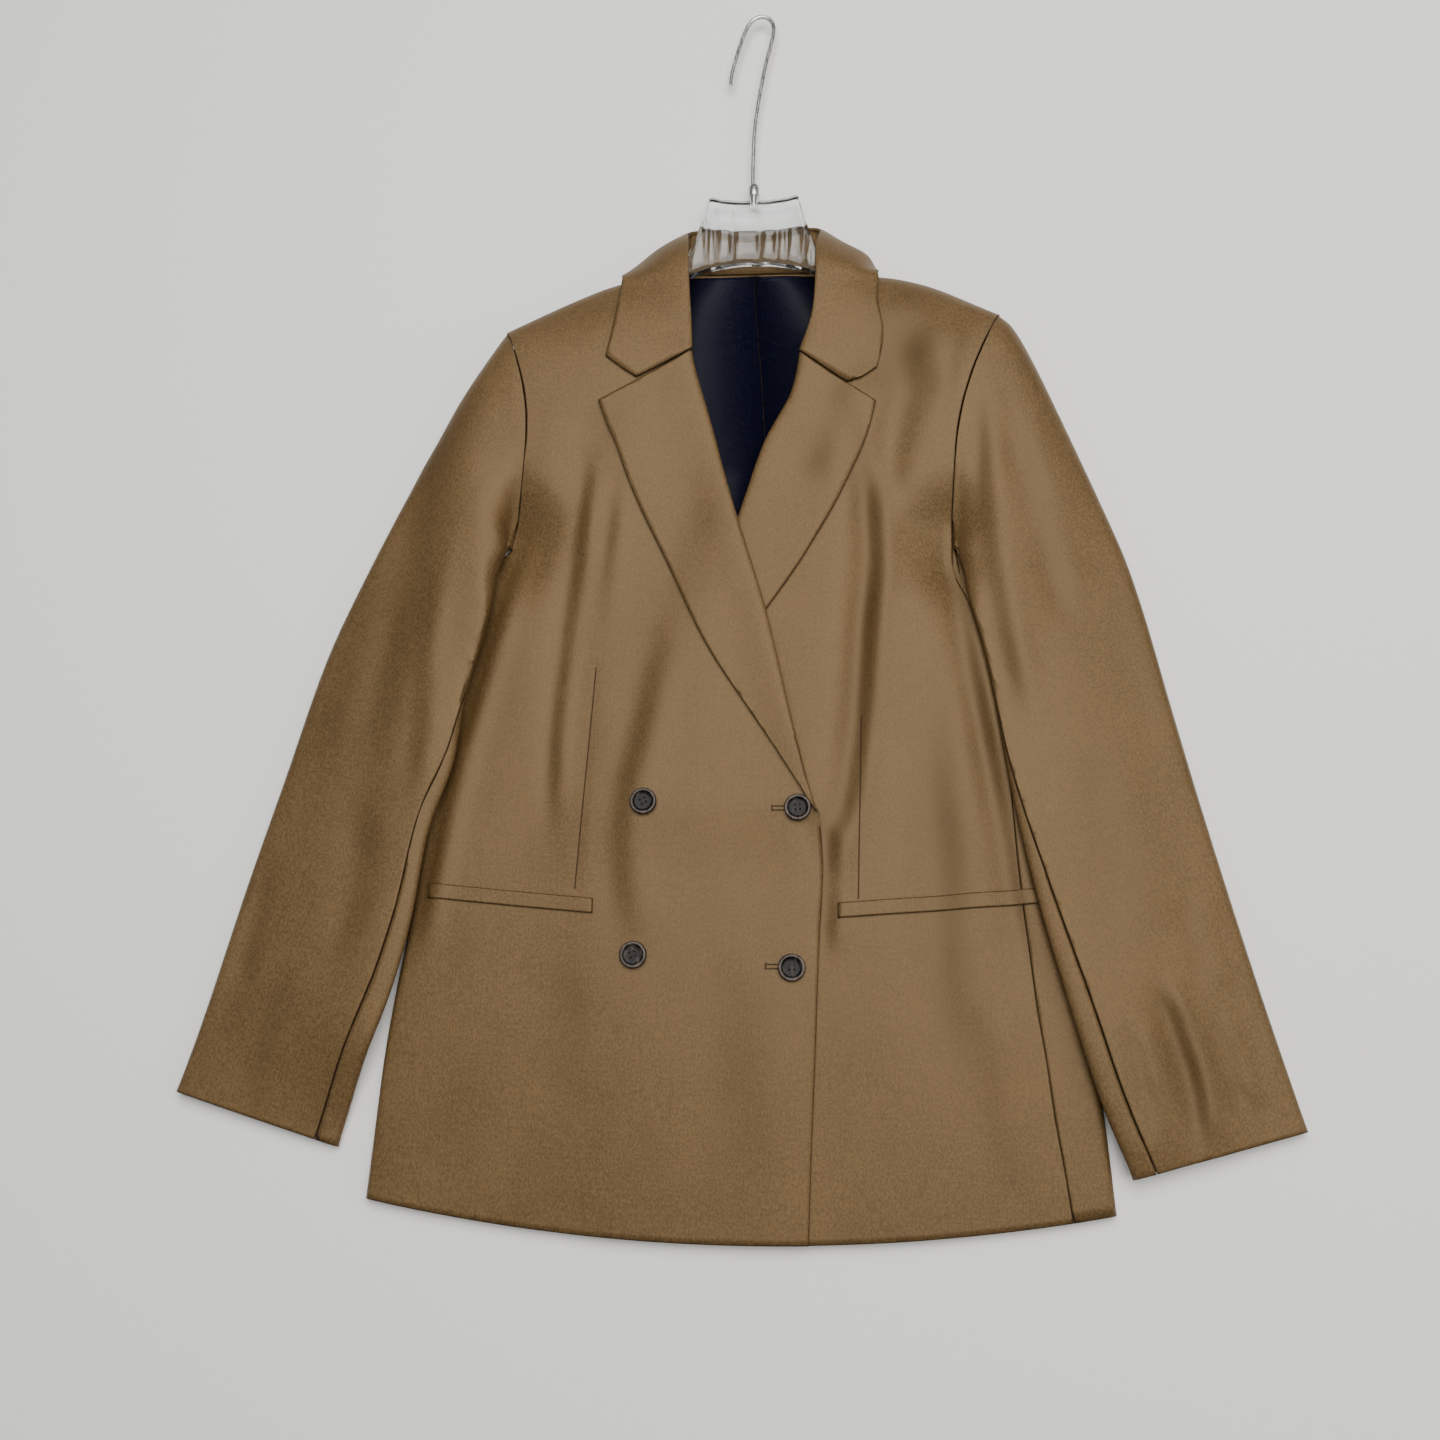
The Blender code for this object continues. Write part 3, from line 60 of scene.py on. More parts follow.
CAMERA_PLACE = (62.1, 100.1, 1065.0)
CAMERA_TURNS = ((17.25, "Z"), (14.9, "X"), (-16.86, "Z"))
CAMERA_LENS = 36.08
CAMERA_SENSOR = 36.0
CAMERA_REACH = 20.0             # metres

MERGE = 1e-6                    # metres within which doubled points are one
PAIR_TURN = math.radians(40.0)  # greatest turn, and greatest skew, of two triangles that are made one face
PAIR_SKEW = math.radians(75.0)
SHARP = math.radians(50.0)
STRAIGHT = math.cos(math.radians(18.0))
# The faces of a cut edge are wider than RIM_LEAST and narrower than the limit of their piece, in metres.
RIM_LEAST = 0.0007
RIM_THIN = 0.00172              # limit on sleeves and lapels, which also have narrow faces where they roll
RIM_THICK = 0.0050              # limit on all other pieces
RIM_STEP = 0.0006               # spacing of the marks that distances from a cut edge are taken to
FAR = 50.0                      # distance from a dart on cloth that has none

# Folds that the cloth lies in: path from the collar's end down, half width, rise to the path's left.
# Each is a trough on the wearer's right of the path and a ridge on its left.
BODY_FOLDS = (
    (((-108, 103), (-118, 2), (-125, -63), (-131, -142), (-129, -233)), 9.0, 1.7),
    (((-84, 88), (-92, 20), (-100, -60)), 9.0, 0.8),
    (((-48, -30), (-52, -64), (-67, -142), (-77, -188), (-77, -248), (-62, -310)), 15.0, 1.9),
    (((96, 125), (108, 48), (111, -1), (106, -49), (102, -104), (96, -158), (91, -188), (80, -225),
      (70, -275)), 12.5, 3.7),
    (((74, -190), (79, -247), (74, -310)), 9.0, 1.5),
    (((171, -60), (159, -150), (164, -232), (162, -290), (166, -359), (161, -410)), 22.0, 2.1),
    (((-112, -300), (-106, -360), (-112, -420)), 24.0, 0.7),
    (((186, -330), (190, -410), (196, -470)), 16.0, 0.9),
    (((-160, 45), (-176, -30), (-192, -99), (-209, -175), (-221, -257), (-232, -330)), 11.0, 2.6),
    (((166, 60), (176, -34), (190, -119), (204, -210), (210, -254), (226, -340)), 11.0, 2.4),
    (((130, 228), (138, 160), (146, 90)), 32.0, 2.6),
    (((152, 206), (158, 158), (166, 112)), 18.0, 0.9),
    (((20, -300), (14, -380), (22, -460)), 30.0, 0.7),
    (((92, 160), (80, 106), (58, 50)), 20.0, 1.5),
)
SLEEVE_FOLDS = {
    "right": (
        (((-203, 175), (-234, 80), (-250, -30), (-262, -130), (-270, -210)), 24.0, 2.6),
        (((-279, -170), (-266, -242), (-284, -335)), 16.0, 1.3),
        (((-338, -220), (-356, -340)), 12.0, 0.9),
        (((-226, 20), (-233, -71), (-232, -142), (-238, -210)), 12.0, 1.1),
        (((-262, 60), (-290, -60), (-322, -180)), 22.0, 1.2),
        (((-316, -300), (-334, -375), (-348, -430)), 15.0, 0.8),
    ),
    "left": (
        (((190, 150), (194, 90), (196, 20), (206, -60), (222, -150)), 12.0, 1.8),
        (((218, 120), (238, 30), (259, -70)), 14.0, 1.4),
        (((331, -250), (343, -330)), 12.0, 1.1),
        (((304, -310), (318, -352), (328, -391), (331, -440)), 10.0, 3.0),
        (((343, -330), (353, -370), (364, -410)), 9.0, 1.6),
        (((286, -345), (295, -390), (300, -430)), 9.0, 1.2),
        (((268, -120), (284, -220), (290, -300)), 20.0, 1.0),
        (((290, 20), (312, -90), (332, -180)), 22.0, 0.8),
    ),
}
FOLD_NEAR = 3.2                 # half widths within which a fold is felt
FOLD_PEAK = 0.4289              # greatest value of t exp(-t t)
FOLD_ENDS = 0.25                # share of its length over which a fold rises at either end
FOLD_MEAN, FOLD_SWELL = 0.8, 0.75       # a fold's strength along its length, and its ups and downs
FOLD_MARKS = 12                 # places along a fold between which its strength changes evenly
FOLD_LUMPS = 3.1                # rises and falls of the strength along a fold
SHADE_SHIFT, SHADE_WIDTH = 0.1, 0.8     # where a fold's shade lies and how wide it is, in half widths
FULL_DEPTH = 4.0                # rise of a fold that is fully in shade
# Where the cloth is eased over: part, centre, radius, shift.
NUDGES = (
    ("body", (-76, 253), 22.0, (3.5, -5.5)),
    ("body", (89, 259), 22.0, (-3.5, -5.0)),
    ("body", (112, 247), 15.0, (-4.5, -3.0)),
    ("body", (123, 209), 26.0, (-9.0, 0.0)),
    ("collar", (125, 251), 13.0, (-5.5, -2.0)),
    ("lapel_right", (70, -186), 14.0, (3.0, -11.0)),
    ("sleeve_left", (175, 6), 13.0, (-4.0, 0.0)),
    ("sleeve_right", (-180, 12), 13.0, (4.0, 0.0)),
)
# Where the right front and its lapel are pressed down onto the left front: centre, radius, drop.
PRESSED = ((72, -206), 15.0, 3.3)
# Slack of the cloth: wavelengths across and along its length, height.
WAVES = ((62.0, 230.0, 0.95), (27.0, 110.0, 0.30), (12.0, 34.0, 0.06))
SEED_APART, WAVE_APART = 7.3, 3.1       # steps in the noise between two parts, and between two waves
RAISE_FROM = 3.0                # cloth lower than this lies on the surface and stays flat
RAISE_WIDTH = 5.0               # height over which it comes free of the surface
ARMHOLES = (((-176, 15), (-168, 46), (-164, 78), (-162, 102), (-164, 132), (-170, 158), (-186, 196)),
            ((172, 10), (170, 28), (171, 64), (173, 95), (179, 125), (186, 147), (210, 202)))
SHOULDERS = (((-72, 262), (-128, 234), (-190, 196)), ((92, 262), (150, 236), (212, 200)))
SEAM_STILL = 22.0               # the cloth is still within this distance of an armhole or a shoulder seam
DARTS = {"front_right": ((-102.5, -86), (-106.5, -153), (-112.5, -254)),
         "front_left": ((98.5, -123), (95.5, -260))}


def ease(t):
    """0 up to 1 as t runs over the same, with soft ends."""
    t = np.clip(t, 0.0, 1.0)
    return t * t * (3.0 - 2.0 * t)


def smooth_path(points, per_span=6):
    """Dense points of a smooth curve through a few places."""
    rows = np.array(points, float)
    padded = np.vstack([2 * rows[0] - rows[1], rows, 2 * rows[-1] - rows[-2]])
    dense = []
    for a, b, c, d in zip(padded[:-3], padded[1:-2], padded[2:-1], padded[3:]):
        for t in np.arange(per_span) / per_span:
            dense.append(0.5 * (2 * b + (c - a) * t + (2 * a - 5 * b + 4 * c - d) * t**2
                                + (3 * b - a - 3 * c + d) * t**3))
    dense.append(rows[-1])
    return np.array(dense)


def offsets(path, places):
    """Distance of each place from a path, positive on the +X side of it, and how far along it lies."""
    start, along = path[:-1], np.diff(path, axis=0)
    squared = (along * along).sum(1)
    lengths = np.sqrt(squared)
    runs = np.concatenate([[0.0], np.cumsum(lengths)])
    best = np.full(len(places), 1e9)
    signed, share = np.zeros(len(places)), np.zeros(len(places))
    for i in range(len(start)):
        offset = places - start[i]
        t = np.clip(offset @ along[i] / squared[i], 0.0, 1.0)
        gap = offset - t[:, None] * along[i]
        distance = np.hypot(gap[:, 0], gap[:, 1])
        nearer = distance < best
        best[nearer] = distance[nearer]
        side = np.sign(along[i, 0] * offset[:, 1] - along[i, 1] * offset[:, 0])
        signed[nearer] = (distance * side)[nearer]
        share[nearer] = ((runs[i] + t * lengths[i]) / runs[-1])[nearer]
    return signed, share


def folded(folds, places):
    """Rise of the cloth at each place from a table of folds, and the shade painted into the folds' troughs
    there, up to 1.
    """
    height, painted_shade = np.zeros(len(places)), np.zeros(len(places))
    for points, half_width, rise in folds:
        path = smooth_path(points)
        low, high = path.min(0) - FOLD_NEAR * half_width, path.max(0) + FOLD_NEAR * half_width
        near = np.flatnonzero(((places > low) & (places < high)).all(1))
        if len(near) == 0:
            continue
        signed, share = offsets(path, places[near])
        t = signed / half_width
        marks = range(FOLD_MARKS + 1)
        seed_x, seed_y = points[0][0], points[-1][1]
        swell = [noise.noise(Vector((seed_x, FOLD_LUMPS * i / FOLD_MARKS, seed_y))) for i in marks]
        strength = [FOLD_MEAN + FOLD_SWELL * value for value in swell]
        force = ease(share / FOLD_ENDS) * ease((1.0 - share) / FOLD_ENDS)
        force *= np.interp(share, np.array(marks) / FOLD_MARKS, strength)
        height[near] += force * rise * t * np.exp(-t * t) / FOLD_PEAK
        # Painted shade, darkest near the path on the trough's side.
        painted_shade[near] += force * rise / FULL_DEPTH * np.exp(-((t + SHADE_SHIFT) / SHADE_WIDTH) ** 2)
    return height, np.minimum(painted_shade, 1.0)


def slack(places, seed, lean):
    """Low uneven waves all over the cloth, long along its length, which leans by so many degrees."""
    turn = math.radians(lean)
    across = places @ np.array((math.cos(turn), math.sin(turn)))
    length = places @ np.array((-math.sin(turn), math.cos(turn)))
    height = np.zeros(len(places))
    for i, (wide, long, rise) in enumerate(WAVES):
        lift = seed * SEED_APART + i * WAVE_APART
        height += [rise * noise.noise(Vector((x / wide, y / long, lift))) for x, y in zip(across, length)]
    return height


def still_near_seams(places):
    """0 on the seams that join curved pieces, so that they stay closed, and 1 away from them."""
    calm = np.ones(len(places))
    for points in ARMHOLES + SHOULDERS:
        signed, _ = offsets(smooth_path(points[::-1]), places)
        calm = np.minimum(calm, ease(np.abs(signed) / SEAM_STILL))
    return calm


def body_relief(piece, points):
    """Rise in millimetres, and painted fold shade, of cloth that belongs to the body, at points in metres."""
    places = points[:, :2] / MM
    height, painted_shade = folded(BODY_FOLDS, places)
    free = still_near_seams(places) * ease((points[:, 2] / MM - RAISE_FROM) / RAISE_WIDTH)
    return (height + slack(places, 1, 0.0)) * free, painted_shade * free


def nudged(node, points):
    """Points shifted where the cloth is eased over or pressed down."""
    places = points[:, :2] / MM
    moved = np.zeros_like(places)
    for part, centre, radius, shift in NUDGES:
        if part in node or (part == "body" and "sleeve" not in node):
            away = ((places - centre) ** 2).sum(1) / radius**2
            moved += np.exp(-away)[:, None] * np.array(shift)
    points[:, :2] += moved * MM
    if node in ("front_right", "lapel_right"):
        centre, radius, drop = PRESSED
        points[:, 2] -= drop * MM * np.exp(-((places - centre) ** 2).sum(1) / radius**2)
    return points


# ---------------------------------------------------------------- camera
def aim_camera():
    """A camera over the blazer's lower half, leaning towards its collar."""
    lens = bpy.data.cameras.new("camera")
    lens.lens = CAMERA_LENS
    lens.sensor_width = CAMERA_SENSOR
    lens.clip_end = CAMERA_REACH
    camera = bpy.data.objects.new("camera", lens)
    SCENE.collection.objects.link(camera)
    turn = Matrix.Identity(4)
    for degrees, axis in CAMERA_TURNS:
        turn = turn @ Matrix.Rotation(math.radians(degrees), 4, axis)
    x, y, z = CAMERA_PLACE
    camera.matrix_world = Matrix.Translation(Vector((x + SPINE_X, y + HEM_Y, z)) * MM) @ turn
    SCENE.camera = camera


aim_camera()


# ---------------------------------------------------------------- finishes
WOOL_DARK, WOOL_LIGHT = (0.067, 0.038, 0.0130, 1.0), (0.140, 0.083, 0.033, 1.0)
# Painted shade: the first colour on the next line darkens the wool in the troughs of its folds, the second
# along its seams, cut edges and darts.
WOOL_PAINTED_FOLD_SHADE, WOOL_PAINTED_SEAM_SHADE = (0.045, 0.023, 0.004, 1.0), (0.014, 0.007, 0.0025, 1.0)
LINING_DARK, LINING_LIGHT = (0.0018, 0.0019, 0.0075, 1.0), (0.0050, 0.0052, 0.0165, 1.0)
# Painted shade along the lining's seams and cut edges.
LINING_PAINTED_SEAM_SHADE = (0.001, 0.001, 0.004, 1.0)
HORN_DARK, HORN_GREY = (0.0075, 0.0058, 0.0055, 1.0), (0.085, 0.062, 0.050, 1.0)
HORN_RIM = (0.15, 0.118, 0.095, 1.0)
ACRYLIC_HAZY, ACRYLIC_CLEAR = (0.93, 0.95, 0.95, 1.0), (0.99, 1.0, 1.0, 1.0)
STEEL_DARK, STEEL_LIGHT = (0.48, 0.47, 0.45, 1.0), (0.72, 0.71, 0.69, 1.0)
ONE_RIB = 2.0 * math.pi / 20.0  # scale of a wave texture that gives one rib to the metre
TWILL_LEAN = math.radians(35.0)
DART_PINCH = 7.0                # distance from a dart within which its stitching draws the cloth in, mm
# Radii between which the paler rim of a button begins, and between which it ends, mm.
BUTTON_RIM_IN, BUTTON_RIM_OUT = (7.6, 8.2), (9.0, 9.6)


def join(tree, node, socket, value):
    """Set an input to a plain value, or link an output to it."""
    if isinstance(value, bpy.types.NodeSocket):
        tree.links.new(value, node.inputs[socket])
    else:
        node.inputs[socket].default_value = value


def put(tree, kind, inputs=None, **settings):
    """Add a node, with its settings and inputs."""
    node = tree.nodes.new(kind)
    for name, value in settings.items():
        setattr(node, name, value)
    for socket, value in (inputs or {}).items():
        join(tree, node, socket, value)
    return node


def calc(tree, operation, a, b=0.0, c=0.0, clamp=False):
    """One sum on numbers. Only MULTIPLY_ADD takes a third one."""
    node = put(tree, "ShaderNodeMath", {0: a, 1: b}, operation=operation, use_clamp=clamp)
    if operation == "MULTIPLY_ADD":
        join(tree, node, 2, c)
    return node.outputs[0]


def weighted(tree, first, *others):
    """Sum of values, each given with the share that it counts for."""
    total = calc(tree, "MULTIPLY", *first)
    for value, share in others:
        total = calc(tree, "ADD", total, calc(tree, "MULTIPLY", value, share))
    return total


def span(tree, value, low, high, to_low=0.0, to_high=1.0):
    """A value's range stretched smoothly to another range."""
    node = put(tree, "ShaderNodeMapRange", {"Value": value, "From Min": low, "From Max": high,
                                            "To Min": to_low, "To Max": to_high},
               interpolation_type="SMOOTHSTEP")
    return node.outputs["Result"]


def blend_colour(tree, share, a, b):
    """Colour a where the share is 0 and b where it is 1."""
    node = put(tree, "ShaderNodeMix", data_type="RGBA")
    join(tree, node, 0, share)
    join(tree, node, 6, a)
    join(tree, node, 7, b)
    return node.outputs[2]


def clouds(tree, where, scale, detail, stretch=(1.0, 1.0, 1.0), roughness=0.5):
    """Noise of so many lumps per metre, stretched."""
    mapped = put(tree, "ShaderNodeMapping", {"Vector": where, "Scale": stretch})
    found = put(tree, "ShaderNodeTexNoise", {"Vector": mapped.outputs[0], "Scale": scale, "Detail": detail,
                                             "Roughness": roughness})
    return found.outputs["Fac"]


def new_group(name, inputs, outputs):
    """An empty shader group, with the nodes that stand for its inputs and outputs."""
    group = bpy.data.node_groups.new(name, "ShaderNodeTree")
    for socket, kind, value in inputs:
        made = group.interface.new_socket(name=socket, in_out="INPUT", socket_type=kind)
        if value is not None:
            made.default_value = value
    for socket, kind in outputs:
        group.interface.new_socket(name=socket, in_out="OUTPUT", socket_type=kind)
    return group, put(group, "NodeGroupInput"), put(group, "NodeGroupOutput")


def weave_group():
    """Fine twill: diagonal ribs crossed by yarns, with the mottling of dyed wool."""
    group, given, result = new_group(
        "twill", (("Where", "NodeSocketVector", None), ("Ribs", "NodeSocketFloat", 1000.0),
                  ("Mottling", "NodeSocketFloat", 0.5)),
        (("Shade", "NodeSocketFloat"), ("Height", "NodeSocketFloat")))
    where = given.outputs["Where"]
    scale = calc(group, "MULTIPLY", given.outputs["Ribs"], ONE_RIB)
    leaning = put(group, "ShaderNodeMapping", {"Vector": where, "Rotation": (0.0, 0.0, TWILL_LEAN)})
    ribs = put(group, "ShaderNodeTexWave", {"Vector": leaning.outputs[0], "Scale": scale, "Distortion": 0.6,
                                            "Detail": 1.0, "Detail Scale": 1.5}).outputs["Fac"]
    yarns = put(group, "ShaderNodeTexWave", {"Vector": where, "Scale": scale, "Distortion": 1.2,
                                             "Detail": 1.0, "Detail Scale": 2.0},
                bands_direction="Y").outputs["Fac"]
    fibres = clouds(group, where, 1500.0, 3.0, (1.0, 0.35, 1.0))
    warp = clouds(group, where, 620.0, 3.0, (1.0, 0.10, 1.0))
    weft = clouds(group, where, 620.0, 3.0, (0.10, 1.0, 1.0))
    patches = clouds(group, where, 16.0, 3.0)
    flecks = clouds(group, where, 760.0, 4.0, (1.0, 0.6, 1.0), 0.75)
    height = weighted(group, (ribs, 0.55), (yarns, 0.25), (fibres, 0.5))
    streaks = weighted(group, (warp, 0.5), (weft, 0.5))
    mottled = weighted(group, (streaks, 0.6), (patches, 0.4))
    centred = calc(group, "SUBTRACT", mottled, 0.5)
    shade = calc(group, "MULTIPLY_ADD", centred, calc(group, "MULTIPLY", given.outputs["Mottling"], 2.4), 0.5)
    shade = calc(group, "MULTIPLY_ADD", calc(group, "SUBTRACT", flecks, 0.5), 4.2, shade)
    shade = calc(group, "MULTIPLY_ADD", calc(group, "SUBTRACT", height, 0.65), 0.35, shade, clamp=True)
    join(group, result, "Shade", shade)
    join(group, result, "Height", height)
    return group


def seam_group():
    """How deep a place lies in a sewn seam or a dart, from the distances kept on the cloth; the finishes sink
    a groove there and paint shade on it.
    """
    group, given, result = new_group(
        "sewn line", (("Seam width", "NodeSocketFloat", 0.95), ("Dart width", "NodeSocketFloat", 1.1)),
        (("Depth", "NodeSocketFloat"), ("Pinch", "NodeSocketFloat")))
    seam = put(group, "ShaderNodeAttribute", attribute_name="seam_mm").outputs["Fac"]
    across = put(group, "ShaderNodeAttribute", attribute_name="dart_across").outputs["Fac"]
    past = put(group, "ShaderNodeAttribute", attribute_name="dart_past").outputs["Fac"]
    dart = calc(group, "MAXIMUM", calc(group, "ABSOLUTE", across), past)
    in_seam = span(group, seam, 0.0, given.outputs["Seam width"], 1.0, 0.0)
    in_dart = span(group, dart, 0.0, given.outputs["Dart width"], 1.0, 0.0)
    by_dart = span(group, dart, 0.0, DART_PINCH, 1.0, 0.0)
    join(group, result, "Depth", calc(group, "MAXIMUM", in_seam, in_dart))
    join(group, result, "Pinch", by_dart)
    return group


TWILL = weave_group()
SEWN_LINE = seam_group()


def new_material(name, **sockets):
    """A material with its plain values set, and the coordinates that its patterns read."""
    made = bpy.data.materials.new(name)
    made.use_nodes = True
    tree = made.node_tree
    shader = tree.nodes["Principled BSDF"]
    for socket, value in sockets.items():
        shader.inputs[socket.replace("_", " ")].default_value = value
    where = put(tree, "ShaderNodeTexCoord").outputs["Object"]
    return made, tree, shader, where


def bump(tree, shader, height, strength, distance):
    node = put(tree, "ShaderNodeBump", {"Height": height, "Strength": strength, "Distance": distance})
    tree.links.new(node.outputs[0], shader.inputs["Normal"])


def wool(name, grain):
    """Golden brown wool twill, its warp turned by so many degrees from the garment's length, with shade
    painted into its folds, seams and darts.
    """
    made, tree, shader, where = new_material(
        name, Roughness=0.5, Specular_IOR_Level=0.64, Specular_Tint=(1.0, 0.74, 0.47, 1.0))
    warp = put(tree, "ShaderNodeMapping", {"Vector": where, "Rotation": (0.0, 0.0, math.radians(grain))})
    weave = put(tree, "ShaderNodeGroup", node_tree=TWILL)
    join(tree, weave, "Where", warp.outputs[0])
    join(tree, weave, "Ribs", 1500.0)
    join(tree, weave, "Mottling", 0.8)
    sewn = put(tree, "ShaderNodeGroup", node_tree=SEWN_LINE)
    dyed = blend_colour(tree, weave.outputs["Shade"], WOOL_DARK, WOOL_LIGHT)
    # Painted shade in the troughs of the folds.
    fold = put(tree, "ShaderNodeAttribute", attribute_name="fold_painted_shade").outputs["Fac"]
    shaded = blend_colour(tree, calc(tree, "MULTIPLY", fold, 0.75), dyed, WOOL_PAINTED_FOLD_SHADE)
    # Painted shade along seams, cut edges and darts.
    painted_shade = calc(tree, "MULTIPLY", sewn.outputs["Depth"], 0.85)
    join(tree, shader, "Base Color", blend_colour(tree, painted_shade, shaded, WOOL_PAINTED_SEAM_SHADE))
    fuzz = span(tree, weave.outputs["Shade"], 0.0, 1.0, 0.46, 0.55)
    join(tree, shader, "Roughness", calc(tree, "MAXIMUM", fuzz, sewn.outputs["Depth"]))
    sunk = calc(tree, "MULTIPLY_ADD", sewn.outputs["Depth"], -1.2,
                calc(tree, "MULTIPLY", weave.outputs["Height"], 0.55))
    sunk = calc(tree, "MULTIPLY_ADD", sewn.outputs["Pinch"], -2.4, sunk)
    bump(tree, shader, sunk, 0.45, 0.00018)
    return made


def navy_lining():
    """Smooth, nearly black blue lining."""
    made, tree, shader, where = new_material("navy lining", Roughness=0.45, Specular_IOR_Level=0.12)
    weave = put(tree, "ShaderNodeGroup", node_tree=TWILL)
    join(tree, weave, "Where", where)
    join(tree, weave, "Ribs", 1600.0)
    join(tree, weave, "Mottling", 0.5)
    dyed = blend_colour(tree, weave.outputs["Shade"], LINING_DARK, LINING_LIGHT)
    sewn = put(tree, "ShaderNodeGroup", node_tree=SEWN_LINE)
    # Painted shade along the lining's seams and cut edges.
    painted_shade = calc(tree, "MULTIPLY", sewn.outputs["Depth"], 0.7)
    join(tree, shader, "Base Color", blend_colour(tree, painted_shade, dyed, LINING_PAINTED_SEAM_SHADE))
    join(tree, shader, "Roughness", span(tree, weave.outputs["Shade"], 0.0, 1.0, 0.38, 0.5))
    bump(tree, shader, weave.outputs["Height"], 0.25, 0.0001)
    return made


def horn(name, centre, seed):
    """Polished dark horn with grey and brown streaks and a paler raised rim, about a centre in metres."""
    made, tree, shader, where = new_material(name, Roughness=0.3, Specular_IOR_Level=0.14)
    middle = put(tree, "ShaderNodeMapping", {"Vector": where, "Location": (-centre[0], -centre[1], 0.0)})
    grain = put(tree, "ShaderNodeMapping", {"Vector": middle.outputs[0], "Rotation": (0.0, 0.0, seed * 1.9),
                                            "Location": (seed * 0.37, seed * 0.21, 0.0),
                                            "Scale": (1.0, 0.35, 1.0)})
    streaks = put(tree, "ShaderNodeTexNoise", {"Vector": grain.outputs[0], "Scale": 210.0, "Detail": 4.0,
                                               "Roughness": 0.62, "Distortion": 1.2}).outputs["Fac"]
    flat = put(tree, "ShaderNodeVectorMath", {0: middle.outputs[0], 1: (1.0 / MM, 1.0 / MM, 0.0)},
               operation="MULTIPLY")
    radius = put(tree, "ShaderNodeVectorMath", {0: flat.outputs[0]}, operation="LENGTH").outputs["Value"]
    ring = calc(tree, "MULTIPLY", span(tree, radius, *BUTTON_RIM_IN),
                span(tree, radius, *BUTTON_RIM_OUT, 1.0, 0.0))
    grey = span(tree, streaks, 0.50, 0.72)
    face = blend_colour(tree, grey, HORN_DARK, HORN_GREY)
    pale = calc(tree, "MULTIPLY", ring, span(tree, streaks, 0.3, 0.7, 0.35, 0.9))
    join(tree, shader, "Base Color", blend_colour(tree, pale, face, HORN_RIM))
    join(tree, shader, "Roughness", span(tree, streaks, 0.3, 0.7, 0.24, 0.38))
    bump(tree, shader, streaks, 0.1, 0.0001)
    return made


def clear_acrylic():
    """Clear acrylic with a little haze and soft ripples."""
    made, tree, shader, where = new_material(
        "clear acrylic", Roughness=0.02, IOR=1.49, Transmission_Weight=1.0)
    haze = clouds(tree, where, 60.0, 3.0)
    join(tree, shader, "Base Color", blend_colour(tree, haze, ACRYLIC_HAZY, ACRYLIC_CLEAR))
    join(tree, shader, "Roughness", span(tree, haze, 0.35, 0.75, 0.05, 0.14))
    ripples = clouds(tree, where, 55.0, 1.0, (1.0, 0.3, 1.0))
    bump(tree, shader, ripples, 0.35, 0.0012)
    return made


def satin_steel():
    """Steel brushed along its length."""
    made, tree, shader, where = new_material("satin steel", Roughness=0.24, Metallic=1.0)
    brushed = clouds(tree, where, 900.0, 3.0, (1.0, 0.08, 1.0))
    join(tree, shader, "Base Color", blend_colour(tree, brushed, STEEL_DARK, STEEL_LIGHT))
    join(tree, shader, "Roughness", span(tree, brushed, 0.2, 0.8, 0.18, 0.36))
    bump(tree, shader, brushed, 0.15, 0.00005)
    return made


def thread(name, dark, light):
    """Twisted sewing thread between two shades."""
    made, tree, shader, where = new_material(name, Roughness=0.6, Specular_IOR_Level=0.3)
    twist = clouds(tree, where, 2600.0, 2.0)
    join(tree, shader, "Base Color", blend_colour(tree, twist, dark, light))
    bump(tree, shader, twist, 0.3, 0.00008)
    return made


WOOLS = {name: wool("wool " + name, grain)
         for name, grain in (("body", 0.0), ("right sleeve", 17.0), ("left sleeve", -17.0),
                             ("right lapel", 24.0), ("left lapel", -24.0))}
LINING = navy_lining()
ACRYLIC = clear_acrylic()
STEEL = satin_steel()
BROWN_THREAD = thread("brown thread", (0.030, 0.016, 0.007, 1.0), (0.085, 0.046, 0.020, 1.0))
GREY_THREAD = thread("grey brown thread", (0.030, 0.022, 0.018, 1.0), (0.075, 0.060, 0.050, 1.0))


# ---------------------------------------------------------------- making pieces
def link(name, mesh):
    made = bpy.data.objects.new(name, mesh)
    SCENE.collection.objects.link(made)
    return made


def finished(rough, name):
    """Replace an object that has modifiers by a plain mesh object."""
    graph = bpy.context.evaluated_depsgraph_get()
    mesh = bpy.data.meshes.new_from_object(rough.evaluated_get(graph), depsgraph=graph)
    bpy.data.objects.remove(rough)
    mesh.name = name
    return link(name, mesh)


def width_of(face):
    """Least height of a face, as its area over its longest side, in metres."""
    return face.calc_area() / max(edge.calc_length() for edge in face.edges)


